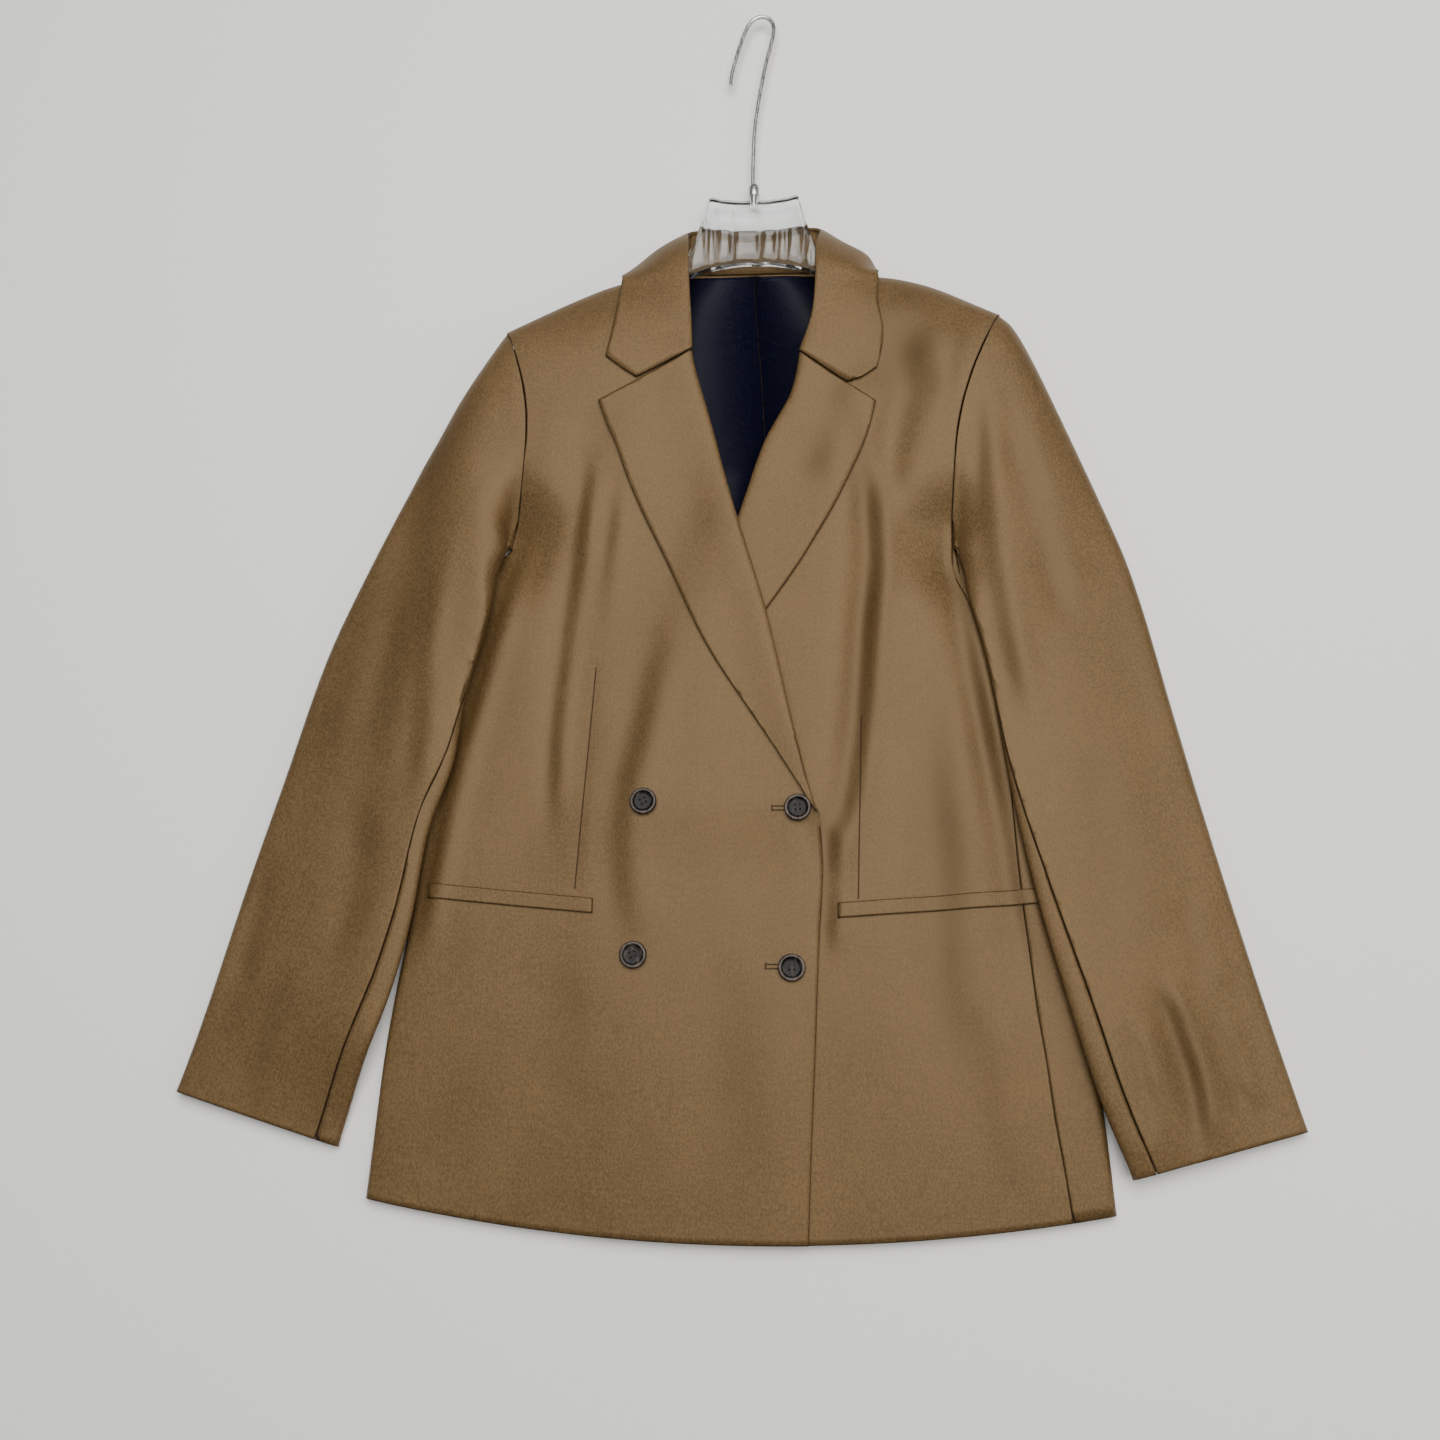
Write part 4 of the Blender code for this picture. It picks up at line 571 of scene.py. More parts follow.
def finer(node, name, levels, rim_width):
    """A copy of a node's mesh with its triangles paired and subdivided, and its cut edges kept crisp."""
    work = bmesh.new()
    work.from_mesh(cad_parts[node].data)
    bmesh.ops.remove_doubles(work, verts=work.verts, dist=MERGE)
    bmesh.ops.join_triangles(work, faces=work.faces, angle_face_threshold=PAIR_TURN,
                             angle_shape_threshold=PAIR_SKEW)
    crease = work.edges.layers.float.new("crease_edge")
    corner = work.verts.layers.float.new("crease_vert")
    rim = []
    for edge in work.edges:
        if edge.calc_face_angle(0.0) < SHARP:
            continue
        if any(RIM_LEAST < width_of(face) < rim_width for face in edge.link_faces):
            edge[crease] = 1.0
            rim.append([vert.co.copy() for vert in edge.verts])
    for vert in work.verts:
        runs = [(edge.other_vert(vert).co - vert.co).normalized() for edge in vert.link_edges if edge[crease]]
        if runs and not any(a.dot(b) < -STRAIGHT for a in runs for b in runs):
            vert[corner] = 1.0
    mesh = bpy.data.meshes.new(name)
    work.to_mesh(mesh)
    work.free()
    mesh.materials.clear()
    rough = link(name + "_rough", mesh)
    subdivide = rough.modifiers.new("finer", "SUBSURF")
    subdivide.levels = subdivide.render_levels = levels
    return finished(rough, name), rim


def coordinates(piece):
    found = np.empty(len(piece.data.vertices) * 3)
    piece.data.vertices.foreach_get("co", found)
    return found.reshape(-1, 3)


def move_to(piece, points):
    piece.data.vertices.foreach_set("co", points.ravel())
    piece.data.update()


def keep(piece, name, values):
    """Keep a value for each point of a piece's mesh, for its finish to use."""
    piece.data.attributes.new(name, "FLOAT", "POINT").data.foreach_set("value", np.asarray(values, float))


def evened(piece, values, rounds):
    """Values at a mesh's points, evened out along its edges."""
    ends = np.empty(len(piece.data.edges) * 2, int)
    piece.data.edges.foreach_get("vertices", ends)
    a, b = ends[::2], ends[1::2]
    count = np.bincount(ends, minlength=len(values))
    for _ in range(rounds):
        total = np.bincount(a, values[b], len(values)) + np.bincount(b, values[a], len(values))
        values = 0.5 * values + 0.5 * total / count
    return values


def keep_distances(piece, rim, dart):
    """Keep on the cloth how far each point is from its cut edge and from its dart."""
    points = coordinates(piece)
    marks = [a.lerp(b, t) for a, b in rim for t in np.linspace(0.0, 1.0, 2 + int((b - a).length / RIM_STEP))]
    tree = KDTree(len(marks))
    for i, mark in enumerate(marks):
        tree.insert(mark, i)
    tree.balance()
    seam = [tree.find(point)[2] / MM for point in points]
    keep(piece, "seam_mm", seam)
    across, past = np.full(len(points), FAR), np.full(len(points), FAR)
    if dart:
        x, y = points[:, 0] / MM, points[:, 1] / MM
        line = sorted((b, a) for a, b in dart)
        across = x - np.interp(y, [b for b, _ in line], [a for _, a in line])
        past = np.maximum(y - line[-1][0], line[0][0] - y)
    keep(piece, "dart_across", across)
    keep(piece, "dart_past", past)


def cloth(node, levels, material, relief):
    """One cut piece of cloth, on its solid's form and in the folds it lies in."""
    rim_width = RIM_THIN if "sleeve" in node or "lapel" in node else RIM_THICK
    piece, rim = finer(node, node + "_cloth", levels, rim_width)
    keep_distances(piece, rim, DARTS.get(node))
    points = coordinates(piece)
    # The folds' painted shade is kept for the wool finish to darken by.
    height, painted_shade = relief(piece, points)
    keep(piece, "fold_painted_shade", painted_shade)
    points[:, 2] += height * MM
    move_to(piece, nudged(node, points))
    piece.data.shade_smooth()
    piece.data.set_sharp_from_angle(angle=SHARP)
    piece.data.materials.append(material)
    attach(piece, "root")
    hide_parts(node)
    return piece


# ---------------------------------------------------------------- sleeves
WALL_CLEAR = 2.4                # rays start this far from a point, outside the cloth's own wall, mm
HOLLOW_FROM, HOLLOW_WIDTH = 3.0, 7.0    # the upper layer is still over a hollow of 3 mm, and free over 10 mm
EVENING = 24                    # rounds that even out where a sleeve is free
SLEEVE_LIE = {"right": (2, -17.0), "left": (3, 17.0)}   # seed of the slack, and its lean in degrees


def sleeve_relief(side):
    """Relief of a sleeve's upper layer. Its under layer, which lies on what is below, stays still."""
    trees = []
    for node in ("top_sleeve_" + side, "under_sleeve_" + side):
        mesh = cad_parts[node].data
        trees.append(BVHTree.FromPolygons([v.co for v in mesh.vertices], [p.vertices for p in mesh.polygons]))
    up, down = Vector((0.0, 0.0, 1.0)), Vector((0.0, 0.0, -1.0))

    def hollow_below(point):
        """Open height under a point of the upper layer, or 0 in the under layer."""
        start = Vector(point)
        for tree in trees:
            hit = tree.ray_cast(start + up * WALL_CLEAR * MM, up)[0]
            if hit is not None:
                return 0.0
        found = [tree.ray_cast(start + down * WALL_CLEAR * MM, down)[0] for tree in trees]
        depths = [start.z - hit.z for hit in found if hit is not None]
        return min(depths) / MM if depths else 0.0

    def relief(piece, points):
        places = points[:, :2] / MM
        height, painted_shade = folded(SLEEVE_FOLDS[side], places)
        hollow = np.array([hollow_below(point) for point in points])
        free = evened(piece, ease((hollow - HOLLOW_FROM) / HOLLOW_WIDTH), EVENING) * still_near_seams(places)
        # Its rise, and the painted shade of its folds.
        return (height + slack(places, *SLEEVE_LIE[side])) * free, painted_shade * free

    return relief


RELIEFS = {"body": body_relief, "right": sleeve_relief("right"), "left": sleeve_relief("left")}

# ---------------------------------------------------------------- the cut pieces
BODY = WOOLS["body"]
RIGHT_SLEEVE, LEFT_SLEEVE = WOOLS["right sleeve"], WOOLS["left sleeve"]
RIGHT_LAPEL, LEFT_LAPEL = WOOLS["right lapel"], WOOLS["left lapel"]
CUT_PIECES = (
    # node, levels, finish, flat size and area in metres, what it lies on, whose relief it has
    ("back_right", 2, BODY, (0.24, 0.77), 0.135, (), "body"),
    ("back_left", 2, BODY, (0.24, 0.77), 0.135, (), "body"),
    ("side_panel_right", 2, BODY, (0.12, 0.53), 0.031, (), "body"),
    ("side_panel_left", 2, BODY, (0.14, 0.53), 0.042, (), "body"),
    ("front_right", 3, BODY, (0.34, 0.77), 0.179, ("back_right", "lining_right"), "body"),
    ("front_left", 3, BODY, (0.34, 0.77), 0.172, ("back_left", "lining_left"), "body"),
    ("top_sleeve_right", 3, RIGHT_SLEEVE, (0.22, 0.63), 0.075, ("under_sleeve_right",), "right"),
    ("top_sleeve_left", 3, LEFT_SLEEVE, (0.22, 0.63), 0.075, ("under_sleeve_left",), "left"),
    ("under_sleeve_right", 2, RIGHT_SLEEVE, (0.18, 0.62), 0.07, ("front_right",), "right"),
    ("under_sleeve_left", 2, LEFT_SLEEVE, (0.18, 0.62), 0.07, ("front_left",), "left"),
    ("lapel_right", 2, RIGHT_LAPEL, (0.10, 0.39), 0.02, ("front_right",), "body"),
    ("lapel_left", 2, LEFT_LAPEL, (0.10, 0.38), 0.018, ("front_left",), "body"),
    ("collar", 2, BODY, (0.09, 0.46), 0.027, ("front_right", "front_left", "back_right"), "body"),
    ("collar_stand", 1, BODY, (0.04, 0.30), 0.0065, ("back_right", "back_left"), "body"),
    ("pocket_welt_right", 2, BODY, (0.125, 0.012), 0.0014, ("front_right",), "body"),
    ("pocket_welt_left", 2, BODY, (0.152, 0.012), 0.0017, ("front_left",), "body"),
    ("lining_right", 1, LINING, (0.24, 0.74), 0.134, ("back_right",), "body"),
    ("lining_left", 1, LINING, (0.24, 0.74), 0.12, ("back_left",), "body"),
)
CLOTHS = {cut_node: cloth(cut_node, cut_levels, finish, RELIEFS[lie])
          for cut_node, cut_levels, finish, cut_flat, cut_area, lies_on, lie in CUT_PIECES}


# ---------------------------------------------------------------- buttons
ABOVE_ALL = 200.0


class Ground:
    """The finished upper surface under small pieces."""

    def __init__(self, *pieces):
        self.trees = [BVHTree.FromPolygons([v.co for v in piece.data.vertices],
                                           [p.vertices for p in piece.data.polygons]) for piece in pieces]

    def height(self, x, y):
        """Highest point straight below a place, all in millimetres."""
        start = Vector((x, y, ABOVE_ALL)) * MM
        found = [tree.ray_cast(start, Vector((0.0, 0.0, -1.0)))[0] for tree in self.trees]
        return max(hit.z for hit in found if hit is not None) / MM


GROUND = Ground(CLOTHS["front_right"], CLOTHS["front_left"], CLOTHS["lapel_right"])
BUTTON_PROFILE = ((0.0, 2.2), (4.4, 2.05), (6.0, 2.15), (6.7, 2.35), (7.1, 2.9), (7.5, 3.3), (8.2, 3.45),
                  (9.0, 3.4), (9.6, 3.0), (9.95, 2.3), (9.9, 1.5), (9.3, 0.8), (7.8, 0.15), (0.0, 0.1))
BUTTON_SIDES = 64
BUTTON_SHARP = math.radians(40.0)
BUTTON_REST = 9.0               # radius at which a button touches the cloth
REST_PLACES = 24
HOLE_RADIUS = 0.95
HOLE_SPREAD = 2.4
HOLE_SIDES = 20
DRILL_ENDS = (-9.0, 9.0)
THREAD_RADIUS = 0.4
THREAD_FROM, THREAD_RISE = 1.2, 1.5     # a thread's ends above the cloth, and its arch above them
THREAD_BEND = 0.6               # the lower, the squarer the arch
THREAD_STEPS = 12
BUTTONS = {"button_upper_right": (0.5, 1), "button_upper_left": (0.1, 2),       # turn in radians, seed
           "button_lower_right": (0.35, 3), "button_lower_left": (0.0, 4)}
BUTTONHOLES = {"buttonhole_upper": (37.0, -194.4), "buttonhole_lower": (33.0, -309.4)}
BUTTONHOLE_HALF = 4.4           # half a buttonhole's length, as far as the button leaves it open
BUTTONHOLE_RAIL = 1.5           # half the distance between its edges
BUTTONHOLE_BAR = 2.3            # half the length of the bar that closes it
EDGE_RISE, BAR_RISE = 0.05, 0.1         # how far the stitches' middles lie above the cloth
EDGE_PLACES, BAR_PLACES = 15, 9         # places at which their paths follow the cloth
BUTTONHOLE_STITCH = {"Spacing": 0.00046, "Length": 0.00066, "Thickness": 0.00028}       # metres


def turned(name, profile, sides):
    """A turned body from radius and height pairs that start and end on its axis."""
    work = bmesh.new()
    loops = []
    for radius, height in profile:
        if radius == 0.0:
            loops.append([work.verts.new(Vector((0.0, 0.0, height)) * MM)])
            continue
        loops.append([work.verts.new(Vector((radius * math.cos(a), radius * math.sin(a), height)) * MM)
                      for a in np.arange(sides) * 2.0 * math.pi / sides])
    for upper, lower in zip(loops, loops[1:]):
        for i in range(sides):
            j = (i + 1) % sides
            if len(upper) == 1:
                work.faces.new((upper[0], lower[i], lower[j]))
            elif len(lower) == 1:
                work.faces.new((upper[j], upper[i], lower[0]))
            else:
                work.faces.new((upper[j], upper[i], lower[i], lower[j]))
    bmesh.ops.recalc_face_normals(work, faces=work.faces)
    mesh = bpy.data.meshes.new(name)
    work.to_mesh(mesh)
    work.free()
    return link(name, mesh)


def bored(piece, radius, ends, sides, lay):
    """Drill a round hole in a piece, between two places on an axis that is laid out by a matrix."""
    low, high = ends
    drill = turned("drill", ((0.0, high), (radius, high), (radius, low), (0.0, low)), sides)
    drill.data.transform(lay)
    cut = piece.modifiers.new("hole", "BOOLEAN")
    cut.operation = "DIFFERENCE"
    cut.solver = "EXACT"
    cut.object = drill
    piece = finished(piece, piece.name)
    bpy.data.objects.remove(drill)
    return piece


def polished(piece, sharp, material):
    """Give a hard piece its one finish, smooth but for its sharp edges."""
    piece.data.shade_smooth()
    piece.data.set_sharp_from_angle(angle=sharp)
    piece.data.materials.clear()
    piece.data.materials.append(material)


def button_with_holes(node, turn, seed):
    """A button with four holes where its solid lies. Gives its place and its holes, in millimetres."""
    low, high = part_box(node)
    x, y = (low.x + high.x) / 2 / MM, (low.y + high.y) / 2 / MM
    ring = [(x + BUTTON_REST * math.cos(a), y + BUTTON_REST * math.sin(a))
            for a in np.arange(REST_PLACES) * 2.0 * math.pi / REST_PLACES]
    z = max(GROUND.height(*place) for place in ring + [(x, y)])
    holes = [(HOLE_SPREAD * math.cos(a), HOLE_SPREAD * math.sin(a))
             for a in (turn + math.radians(45.0 + 90.0 * i) for i in range(4))]
    button = turned(node + "_horn", BUTTON_PROFILE, BUTTON_SIDES)
    for hole in holes:
        button = bored(button, HOLE_RADIUS, DRILL_ENDS, HOLE_SIDES,
                       Matrix.Translation(Vector((*hole, 0.0)) * MM))
    button.data.transform(Matrix.Translation(Vector((x, y, z)) * MM))
    name = "horn " + node.removeprefix("button_").replace("_", " ")
    polished(button, BUTTON_SHARP, horn(name, (x * MM, y * MM), seed))
    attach(button, "root")
    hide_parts(node)
    return (x, y, z), holes


# ---------------------------------------------------------------- what follows a path
def path_tree(name, inputs):
    """The start of a Geometry Nodes tree that builds something along a path."""
    group = bpy.data.node_groups.new(name, "GeometryNodeTree")
    group.interface.new_socket(name="Path", in_out="INPUT", socket_type="NodeSocketGeometry")
    for socket, kind, value in inputs:
        made = group.interface.new_socket(name=socket, in_out="INPUT", socket_type=kind)
        if value is not None:
            made.default_value = value
    group.interface.new_socket(name="Made", in_out="OUTPUT", socket_type="NodeSocketGeometry")
    return group, put(group, "NodeGroupInput"), put(group, "NodeGroupOutput")


def close_tree(group, given, result, geometry):
    """End a tree with real faces, smooth, in the given finish."""
    real = put(group, "GeometryNodeRealizeInstances", {"Geometry": geometry})
    smooth = put(group, "GeometryNodeSetShadeSmooth", {"Geometry": real.outputs[0]})
    dressed = put(group, "GeometryNodeSetMaterial", {"Geometry": smooth.outputs[0],
                                                     "Material": given.outputs["Finish"]})
    join(group, result, "Made", dressed.outputs[0])
    return group


def wire_tree():
    """Round wire or thread along a path."""
    group, given, result = path_tree("wire", (
        ("Radius", "NodeSocketFloat", 0.001), ("Sides", "NodeSocketInt", 16),
        ("Finish", "NodeSocketMaterial", None)))
    line = put(group, "GeometryNodeMeshToCurve", {"Mesh": given.outputs["Path"]})
    circle = put(group, "GeometryNodeCurvePrimitiveCircle", {
        "Resolution": given.outputs["Sides"], "Radius": given.outputs["Radius"]})
    tube = put(group, "GeometryNodeCurveToMesh", {
        "Curve": line.outputs[0], "Profile Curve": circle.outputs[0], "Fill Caps": True})
    return close_tree(group, given, result, tube.outputs[0])


def stitch_tree():
    """Short stitches side by side across a path."""
    group, given, result = path_tree("stitches", (
        ("Spacing", "NodeSocketFloat", 0.0005), ("Length", "NodeSocketFloat", 0.0012),
        ("Thickness", "NodeSocketFloat", 0.0002), ("Finish", "NodeSocketMaterial", None)))
    line = put(group, "GeometryNodeMeshToCurve", {"Mesh": given.outputs["Path"]})
    places = put(group, "GeometryNodeCurveToPoints", {
        "Curve": line.outputs[0], "Length": given.outputs["Spacing"]}, mode="LENGTH")
    turn = put(group, "FunctionNodeAlignRotationToVector", {"Vector": places.outputs["Tangent"]}, axis="Y",
               pivot_axis="Z")
    size = put(group, "ShaderNodeCombineXYZ", {
        "X": given.outputs["Length"], "Y": given.outputs["Thickness"], "Z": given.outputs["Thickness"]})
    bead = put(group, "GeometryNodeMeshUVSphere", {"Segments": 8, "Rings": 6, "Radius": 1.0})
    each = put(group, "GeometryNodeInstanceOnPoints", {
        "Points": places.outputs["Points"], "Instance": bead.outputs["Mesh"],
        "Rotation": turn.outputs[0], "Scale": size.outputs[0]})
    return close_tree(group, given, result, each.outputs[0])


WIRE, STITCHES = wire_tree(), stitch_tree()


def along(tree, name, points, **inputs):
    """Run a tree along a path of points in millimetres, and keep the plain mesh."""
    mesh = bpy.data.meshes.new(name)
    mesh.from_pydata([Vector(p) * MM for p in points], [(i, i + 1) for i in range(len(points) - 1)], [])
    rough = link(name + "_rough", mesh)
    modifier = rough.modifiers.new("along", "NODES")
    modifier.node_group = tree
    for item in tree.interface.items_tree:
        if item.in_out == "INPUT" and item.name in inputs:
            modifier[item.identifier] = inputs[item.name]
    return finished(rough, name)


def join_pieces(name, pieces, finish):
    """One mesh from several, in one finish."""
    work = bmesh.new()
    for piece in pieces:
        work.from_mesh(piece.data)
    mesh = bpy.data.meshes.new(name)
    work.to_mesh(mesh)
    work.free()
    mesh.materials.append(finish)
    mesh.polygons.foreach_set("material_index", [0] * len(mesh.polygons))
    for piece in pieces:
        bpy.data.objects.remove(piece)
    return link(name, mesh)


def add(piece):
    """Put a small piece on the one body."""
    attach(piece, "root")


def sewing_thread(node, place, holes):
    """Two loops of thread that hold a button, each over a pair of its holes."""
    x, y, z = place
    loops = []
    for (x0, y0), (x1, y1) in ((holes[0], holes[3]), (holes[1], holes[2])):
        arch = [(x + x0 + (x1 - x0) * t, y + y0 + (y1 - y0) * t,
                 z + THREAD_FROM + THREAD_RISE * math.sin(math.pi * t) ** THREAD_BEND)
                for t in np.arange(THREAD_STEPS + 1) / THREAD_STEPS]
        loops.append(along(WIRE, "thread", arch, Radius=THREAD_RADIUS * MM, Sides=8, Finish=GREY_THREAD))
    add(join_pieces(node + "_thread", loops, GREY_THREAD))


def on_cloth(x, y, rise):
    """A place so far above the cloth's surface."""
    return x, y, GROUND.height(x, y) + rise


def buttonhole(name, x, y):
    """The stitched edges of a buttonhole, and the bar at its end."""
    half = BUTTONHOLE_HALF
    edges = [on_cloth(x + run, y + across, EDGE_RISE)
             for across, start in ((-BUTTONHOLE_RAIL, half), (BUTTONHOLE_RAIL, -half))
             for run in np.linspace(start, -start, EDGE_PLACES)]
    bar = [on_cloth(x - half, y + across, BAR_RISE)
           for across in np.linspace(-BUTTONHOLE_BAR, BUTTONHOLE_BAR, BAR_PLACES)]
    stitched = [along(STITCHES, part, path, Finish=BROWN_THREAD, **BUTTONHOLE_STITCH)
                for part, path in (("edge", edges), ("bar", bar))]
    add(join_pieces(name, stitched, BROWN_THREAD))


BUTTON_PLACES = {node: button_with_holes(node, *lie) for node, lie in BUTTONS.items()}
for button_node, (button_place, button_holes) in BUTTON_PLACES.items():
    sewing_thread(button_node, button_place, button_holes)
for hole_name, hole_place in BUTTONHOLES.items():
    buttonhole(hole_name, *hole_place)


# ---------------------------------------------------------------- hanger
HOOK_Z = 11.3
HOOK_RADIUS = 1.85
HOOK_PATH = ((-1, 826.4), (-1, 848), (0, 880), (4, 914), (9, 944), (13.5, 965), (15.5, 978), (13, 987),
             (6, 991.5), (-2, 989), (-7.5, 981), (-12, 968), (-16.5, 951), (-20, 935), (-21, 924))
# Half of the hanger seen from the front: |x|, lower y, upper y, upper face z.
HANGER = ((0, 754, 809.4, 17.3), (14, 753.6, 809.8, 17.3), (26, 751.8, 811.4, 17.3), (33, 750.4, 813.4, 17.3),
          (36, 749.7, 813.6, 17.3), (37.2, 749.4, 812.2, 17.3), (39.5, 749, 803, 17.3), (42, 748, 792, 17.3),
          (46, 746.5, 781, 17.3), (51, 744.5, 766, 17.3), (57, 742, 757, 17.5), (66, 735, 746, 18.0),
          (80, 724, 737, 18.5), (100, 708, 725, 19.5), (125, 689, 712, 21.0), (150, 672, 699, 22.5),
          (168, 662, 688, 22.5), (176, 660, 682, 21.0), (180, 665, 676, 17.0))
HANGER_BOTTOM = 5.3
HANGER_CHAMFER = 2.2
HANGER_BEVEL = 5.5              # width of the shallow bevel along the lower edge
CHAMFER_SHARE, BEVEL_SHARE = 0.21, 0.3          # most of a thin arm that either may take
FRONT_PLACES, BACK_PLACES = 22, 12              # places across the front face and the back one
MIDDLE_HALF, MIDDLE_STATIONS = 60.0, 45         # half the width that has close sections, and their number
STEP_Y = 784.0              # where the front face steps back, in the middle
STEP_DEPTH = 1.7
STEP_WIDTH = 4.5
STEP_RISE, STEP_HALF = 6.0, 34.0        # the step's line is this much higher so far from the middle
STEP_END, STEP_FADE = 62.0, 14.0        # |x| where the step ends, and the width over which it fades
RIPPLES = ((7.3, 0.16, 0.4), (11.7, 0.26, 1.9), (19.0, 0.35, 4.0))      # wavelength, height and shift in x
RIPPLE_SWAY, RIPPLE_LENGTH = 0.5, 9.0           # how far the ripples sway as they run up the block
RIPPLE_END, RIPPLE_FADE = 60.0, 12.0            # |x| where they end, and the width over which they fade
BODY_SHARP = math.radians(28.0)
FERRULE_PROFILE = ((0.0, 805.6), (3.2, 805.6), (3.35, 806.2), (3.35, 814.6), (3.35, 816.0), (4.2, 816.2),
                   (4.55, 816.9), (4.55, 820.6), (4.15, 821.0), (4.15, 821.8), (4.55, 822.2), (4.5, 825.2),
                   (4.0, 825.9), (2.3, 826.0), (0.0, 826.0))
FERRULE_SIDES = 48
FERRULE_SHARP = math.radians(35.0)
SOCKET_RADIUS, SOCKET_ENDS, SOCKET_SIDES = 3.65, (805.1, 830.0), 40
# Lays what is turned about the ferrule's axis, by heights above the hem's level, into the hanger.
FERRULE_AXIS = (Matrix.Translation(Vector((SPINE_X, HEM_Y, HOOK_Z)) * MM)
                @ Matrix.Rotation(math.radians(-90.0), 4, "X"))


def bent_wire():
    """The hook."""
    path = smooth_path([(x + SPINE_X, y + HEM_Y) for x, y in HOOK_PATH], 8)
    hook = along(WIRE, "hanger_hook_wire", [(x, y, HOOK_Z) for x, y in path],
                 Radius=HOOK_RADIUS * MM, Sides=24, Finish=STEEL)
    add(hook)
    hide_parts("hanger_hook")


def ferrule():
    """The collared sleeve that the hook stands in."""
    made = turned("hanger_ferrule_steel", FERRULE_PROFILE, FERRULE_SIDES)
    made.data.transform(FERRULE_AXIS)
    polished(made, FERRULE_SHARP, STEEL)
    add(made)
    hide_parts("hanger_ferrule")


def face_relief(x, y, seed):
    """Unevenness of the moulded faces, in long ripples along the block's height."""
    sway = RIPPLE_SWAY * math.sin(y / RIPPLE_LENGTH + seed)
    waves = sum(rise * math.sin(2.0 * math.pi * (x + seed) / length + shift + sway)
                for length, rise, shift in RIPPLES)
    return waves * float(ease((RIPPLE_END - abs(x)) / RIPPLE_FADE))


def front_relief(x, y):
    """Drop of the front face below its curved step, with the ripples on it."""
    line = STEP_Y + STEP_RISE * (x / STEP_HALF) ** 2
    below = 1.0 - float(ease((y - line + STEP_WIDTH) / STEP_WIDTH))
    below *= float(ease((STEP_END - abs(x)) / STEP_FADE))
    return below * (face_relief(x, y, 0.0) - STEP_DEPTH)


def hanger_section(x, low, high, top):
    """Corners of a section across the hanger, as y and z, from the upper edge of the front face round."""
    cut = min(HANGER_CHAMFER, CHAMFER_SHARE * (high - low), CHAMFER_SHARE * (top - HANGER_BOTTOM))
    bevel = min(HANGER_BEVEL, BEVEL_SHARE * (high - low))
    loop = [(y, top + front_relief(x, y)) for y in np.linspace(high - cut, low + bevel, FRONT_PLACES)]
    edge = loop[-1][1]
    loop += [(low + 0.5 * bevel, edge - 0.45 * cut), (low + 0.5, edge - cut), (low, edge - cut - 0.6),
             (low, HANGER_BOTTOM + cut), (low + 0.3 * cut, HANGER_BOTTOM + 0.3 * cut)]
    loop += [(y, HANGER_BOTTOM + 0.35 + 0.3 * face_relief(x, y, 2.7))
             for y in np.linspace(low + cut, high - cut, BACK_PLACES)]
    loop += [(high - 0.3 * cut, HANGER_BOTTOM + 0.3 * cut), (high, HANGER_BOTTOM + cut), (high, top - cut),
             (high - 0.3 * cut, top - 0.3 * cut)]
    return loop


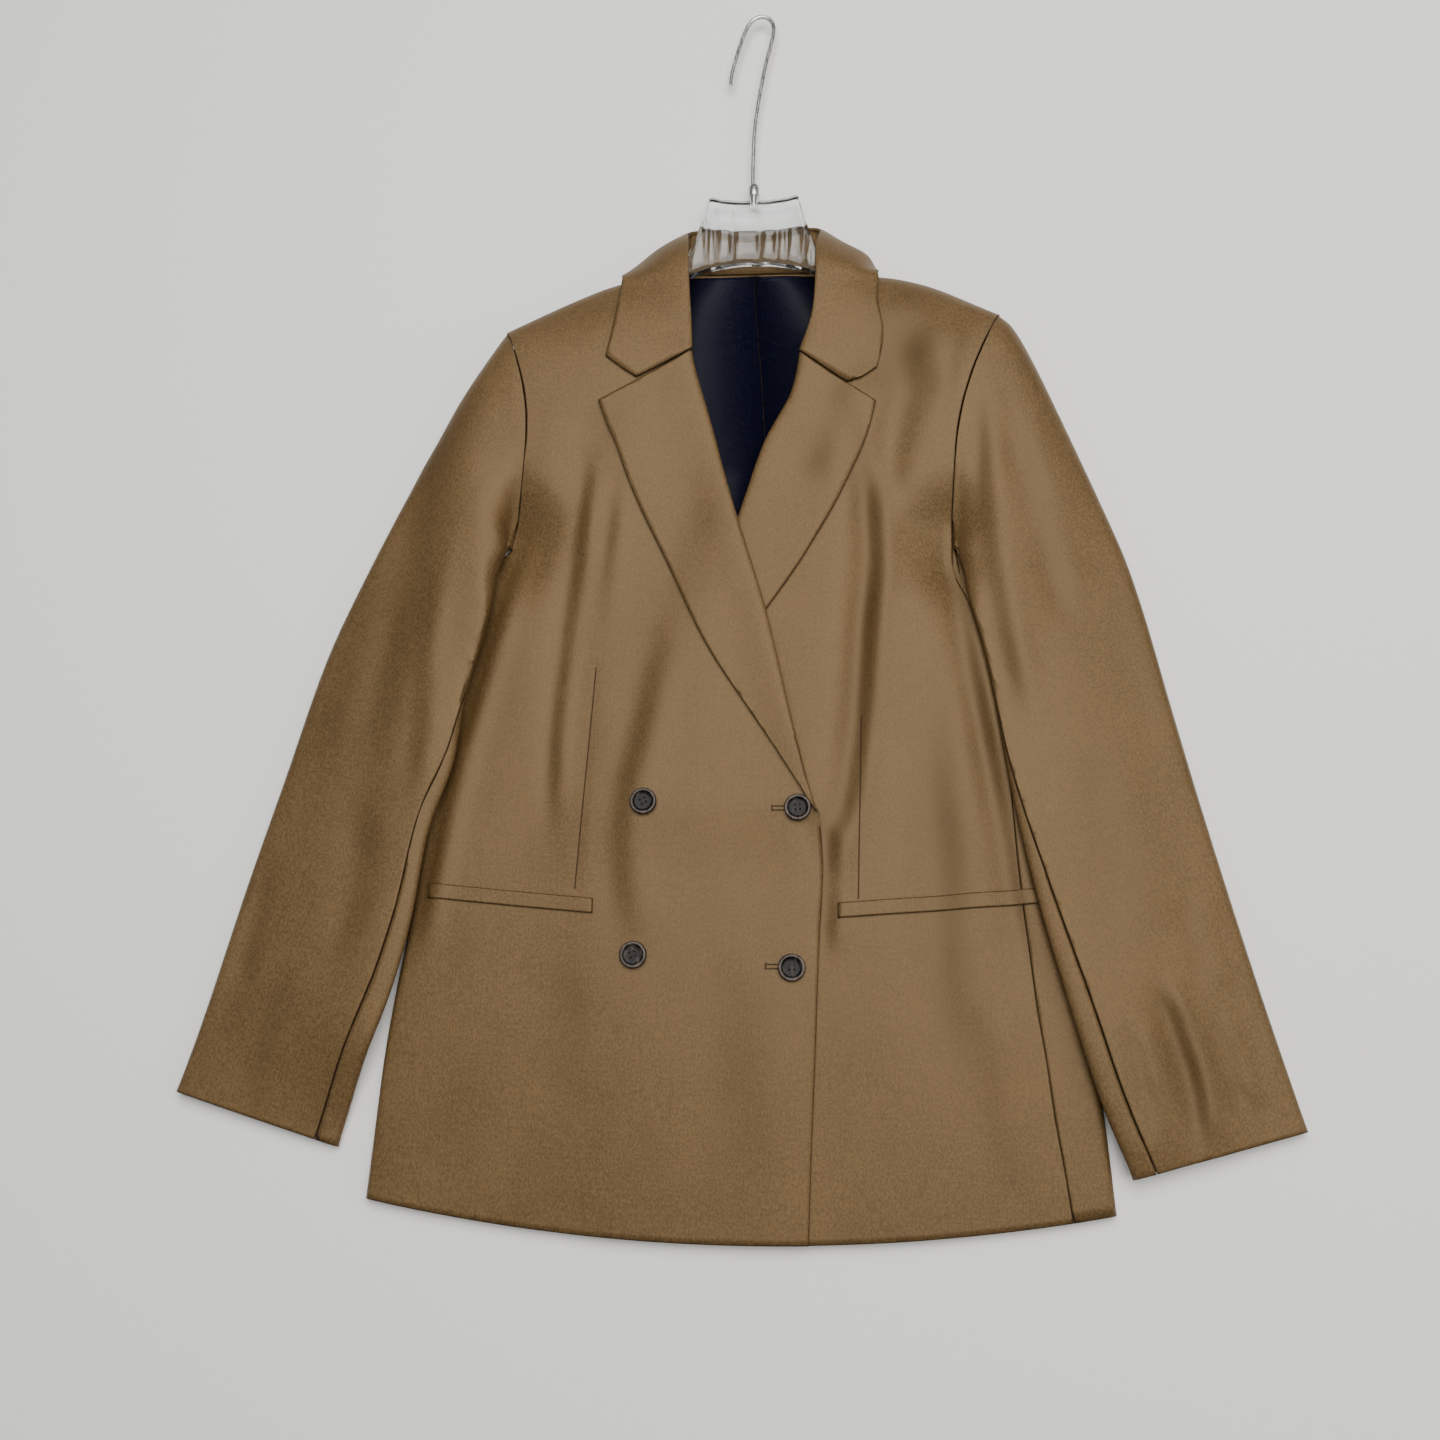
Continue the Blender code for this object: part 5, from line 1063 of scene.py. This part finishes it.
def clear_body():
    """The clear hanger: sections from one arm's end to the other's, with a hole for the ferrule."""
    table = np.array(HANGER, float)
    stations = table[:, 0]
    middle = np.linspace(0.0, MIDDLE_HALF, MIDDLE_STATIONS)
    between = (stations[9:-1] + stations[10:]) / 2
    half = np.unique(np.concatenate([middle, stations, between]))
    work = bmesh.new()
    loops = []
    for x in np.concatenate([-half[:0:-1], half]):
        low, high, top = (np.interp(abs(x), stations, table[:, i]) for i in (1, 2, 3))
        loops.append([work.verts.new(Vector((x + SPINE_X, y + HEM_Y, z)) * MM)
                      for y, z in hanger_section(x, low, high, top)])
    count = len(loops[0])
    for a, b in zip(loops, loops[1:]):
        for i in range(count):
            j = (i + 1) % count
            work.faces.new((a[i], a[j], b[j], b[i]))
    work.faces.new(loops[0])
    work.faces.new(loops[-1])
    bmesh.ops.recalc_face_normals(work, faces=work.faces)
    mesh = bpy.data.meshes.new("hanger_body_clear")
    work.to_mesh(mesh)
    work.free()
    body = bored(link("hanger_body_clear", mesh), SOCKET_RADIUS, SOCKET_ENDS, SOCKET_SIDES, FERRULE_AXIS)
    polished(body, BODY_SHARP, ACRYLIC)
    add(body)
    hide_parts("hanger_body")


bent_wire()
ferrule()
clear_body()


# ---------------------------------------------------------------- floor, light
FLOOR_HALF = 4.0                # metres
FLOOR_COLOUR = (0.93, 0.915, 0.87, 1.0)
SOFTBOXES = (
    # name, place and size in metres, power in watts, colour
    ("key", (2.1, -0.5, 1.45), (0.9, 1.2), 13.0, (1.0, 0.97, 0.92)),
    ("overhead", (0.25, 0.45, 2.2), (2.2, 2.0), 75.0, (1.0, 1.0, 1.0)),
    ("fill", (-1.9, -0.4, 1.4), (1.6, 1.6), 4.0, (0.94, 0.97, 1.0)),
)
ROOM_COLOUR, ROOM_LIGHT = (0.92, 0.95, 1.0, 1.0), 0.16


def pale_floor():
    """The plain surface that the blazer lies on."""
    mesh = bpy.data.meshes.new("floor")
    corners = [(x * FLOOR_HALF, y * FLOOR_HALF, 0.0) for x, y in ((-1, -1), (1, -1), (1, 1), (-1, 1))]
    mesh.from_pydata(corners, [], [(0, 1, 2, 3)])
    floor = link("floor", mesh)
    made, *_ = new_material("pale floor", Base_Color=FLOOR_COLOUR, Roughness=0.9, Specular_IOR_Level=0.2)
    mesh.materials.append(made)


def softbox(name, place, size, power, colour):
    """A soft lamp that points at the frame's middle."""
    lamp = bpy.data.lights.new(name, "AREA")
    lamp.shape = "RECTANGLE"
    lamp.size, lamp.size_y = size
    lamp.energy = power
    lamp.color = colour
    made = bpy.data.objects.new(name, lamp)
    SCENE.collection.objects.link(made)
    made.location = place
    made.rotation_euler = (-Vector(place)).to_track_quat("-Z", "Y").to_euler()


def room_light():
    """Faint even light from all round."""
    SCENE.world = bpy.data.worlds.new("studio")
    SCENE.world.use_nodes = True
    background = SCENE.world.node_tree.nodes["Background"]
    background.inputs["Color"].default_value = ROOM_COLOUR
    background.inputs["Strength"].default_value = ROOM_LIGHT


pale_floor()
for softbox_row in SOFTBOXES:
    softbox(*softbox_row)
room_light()
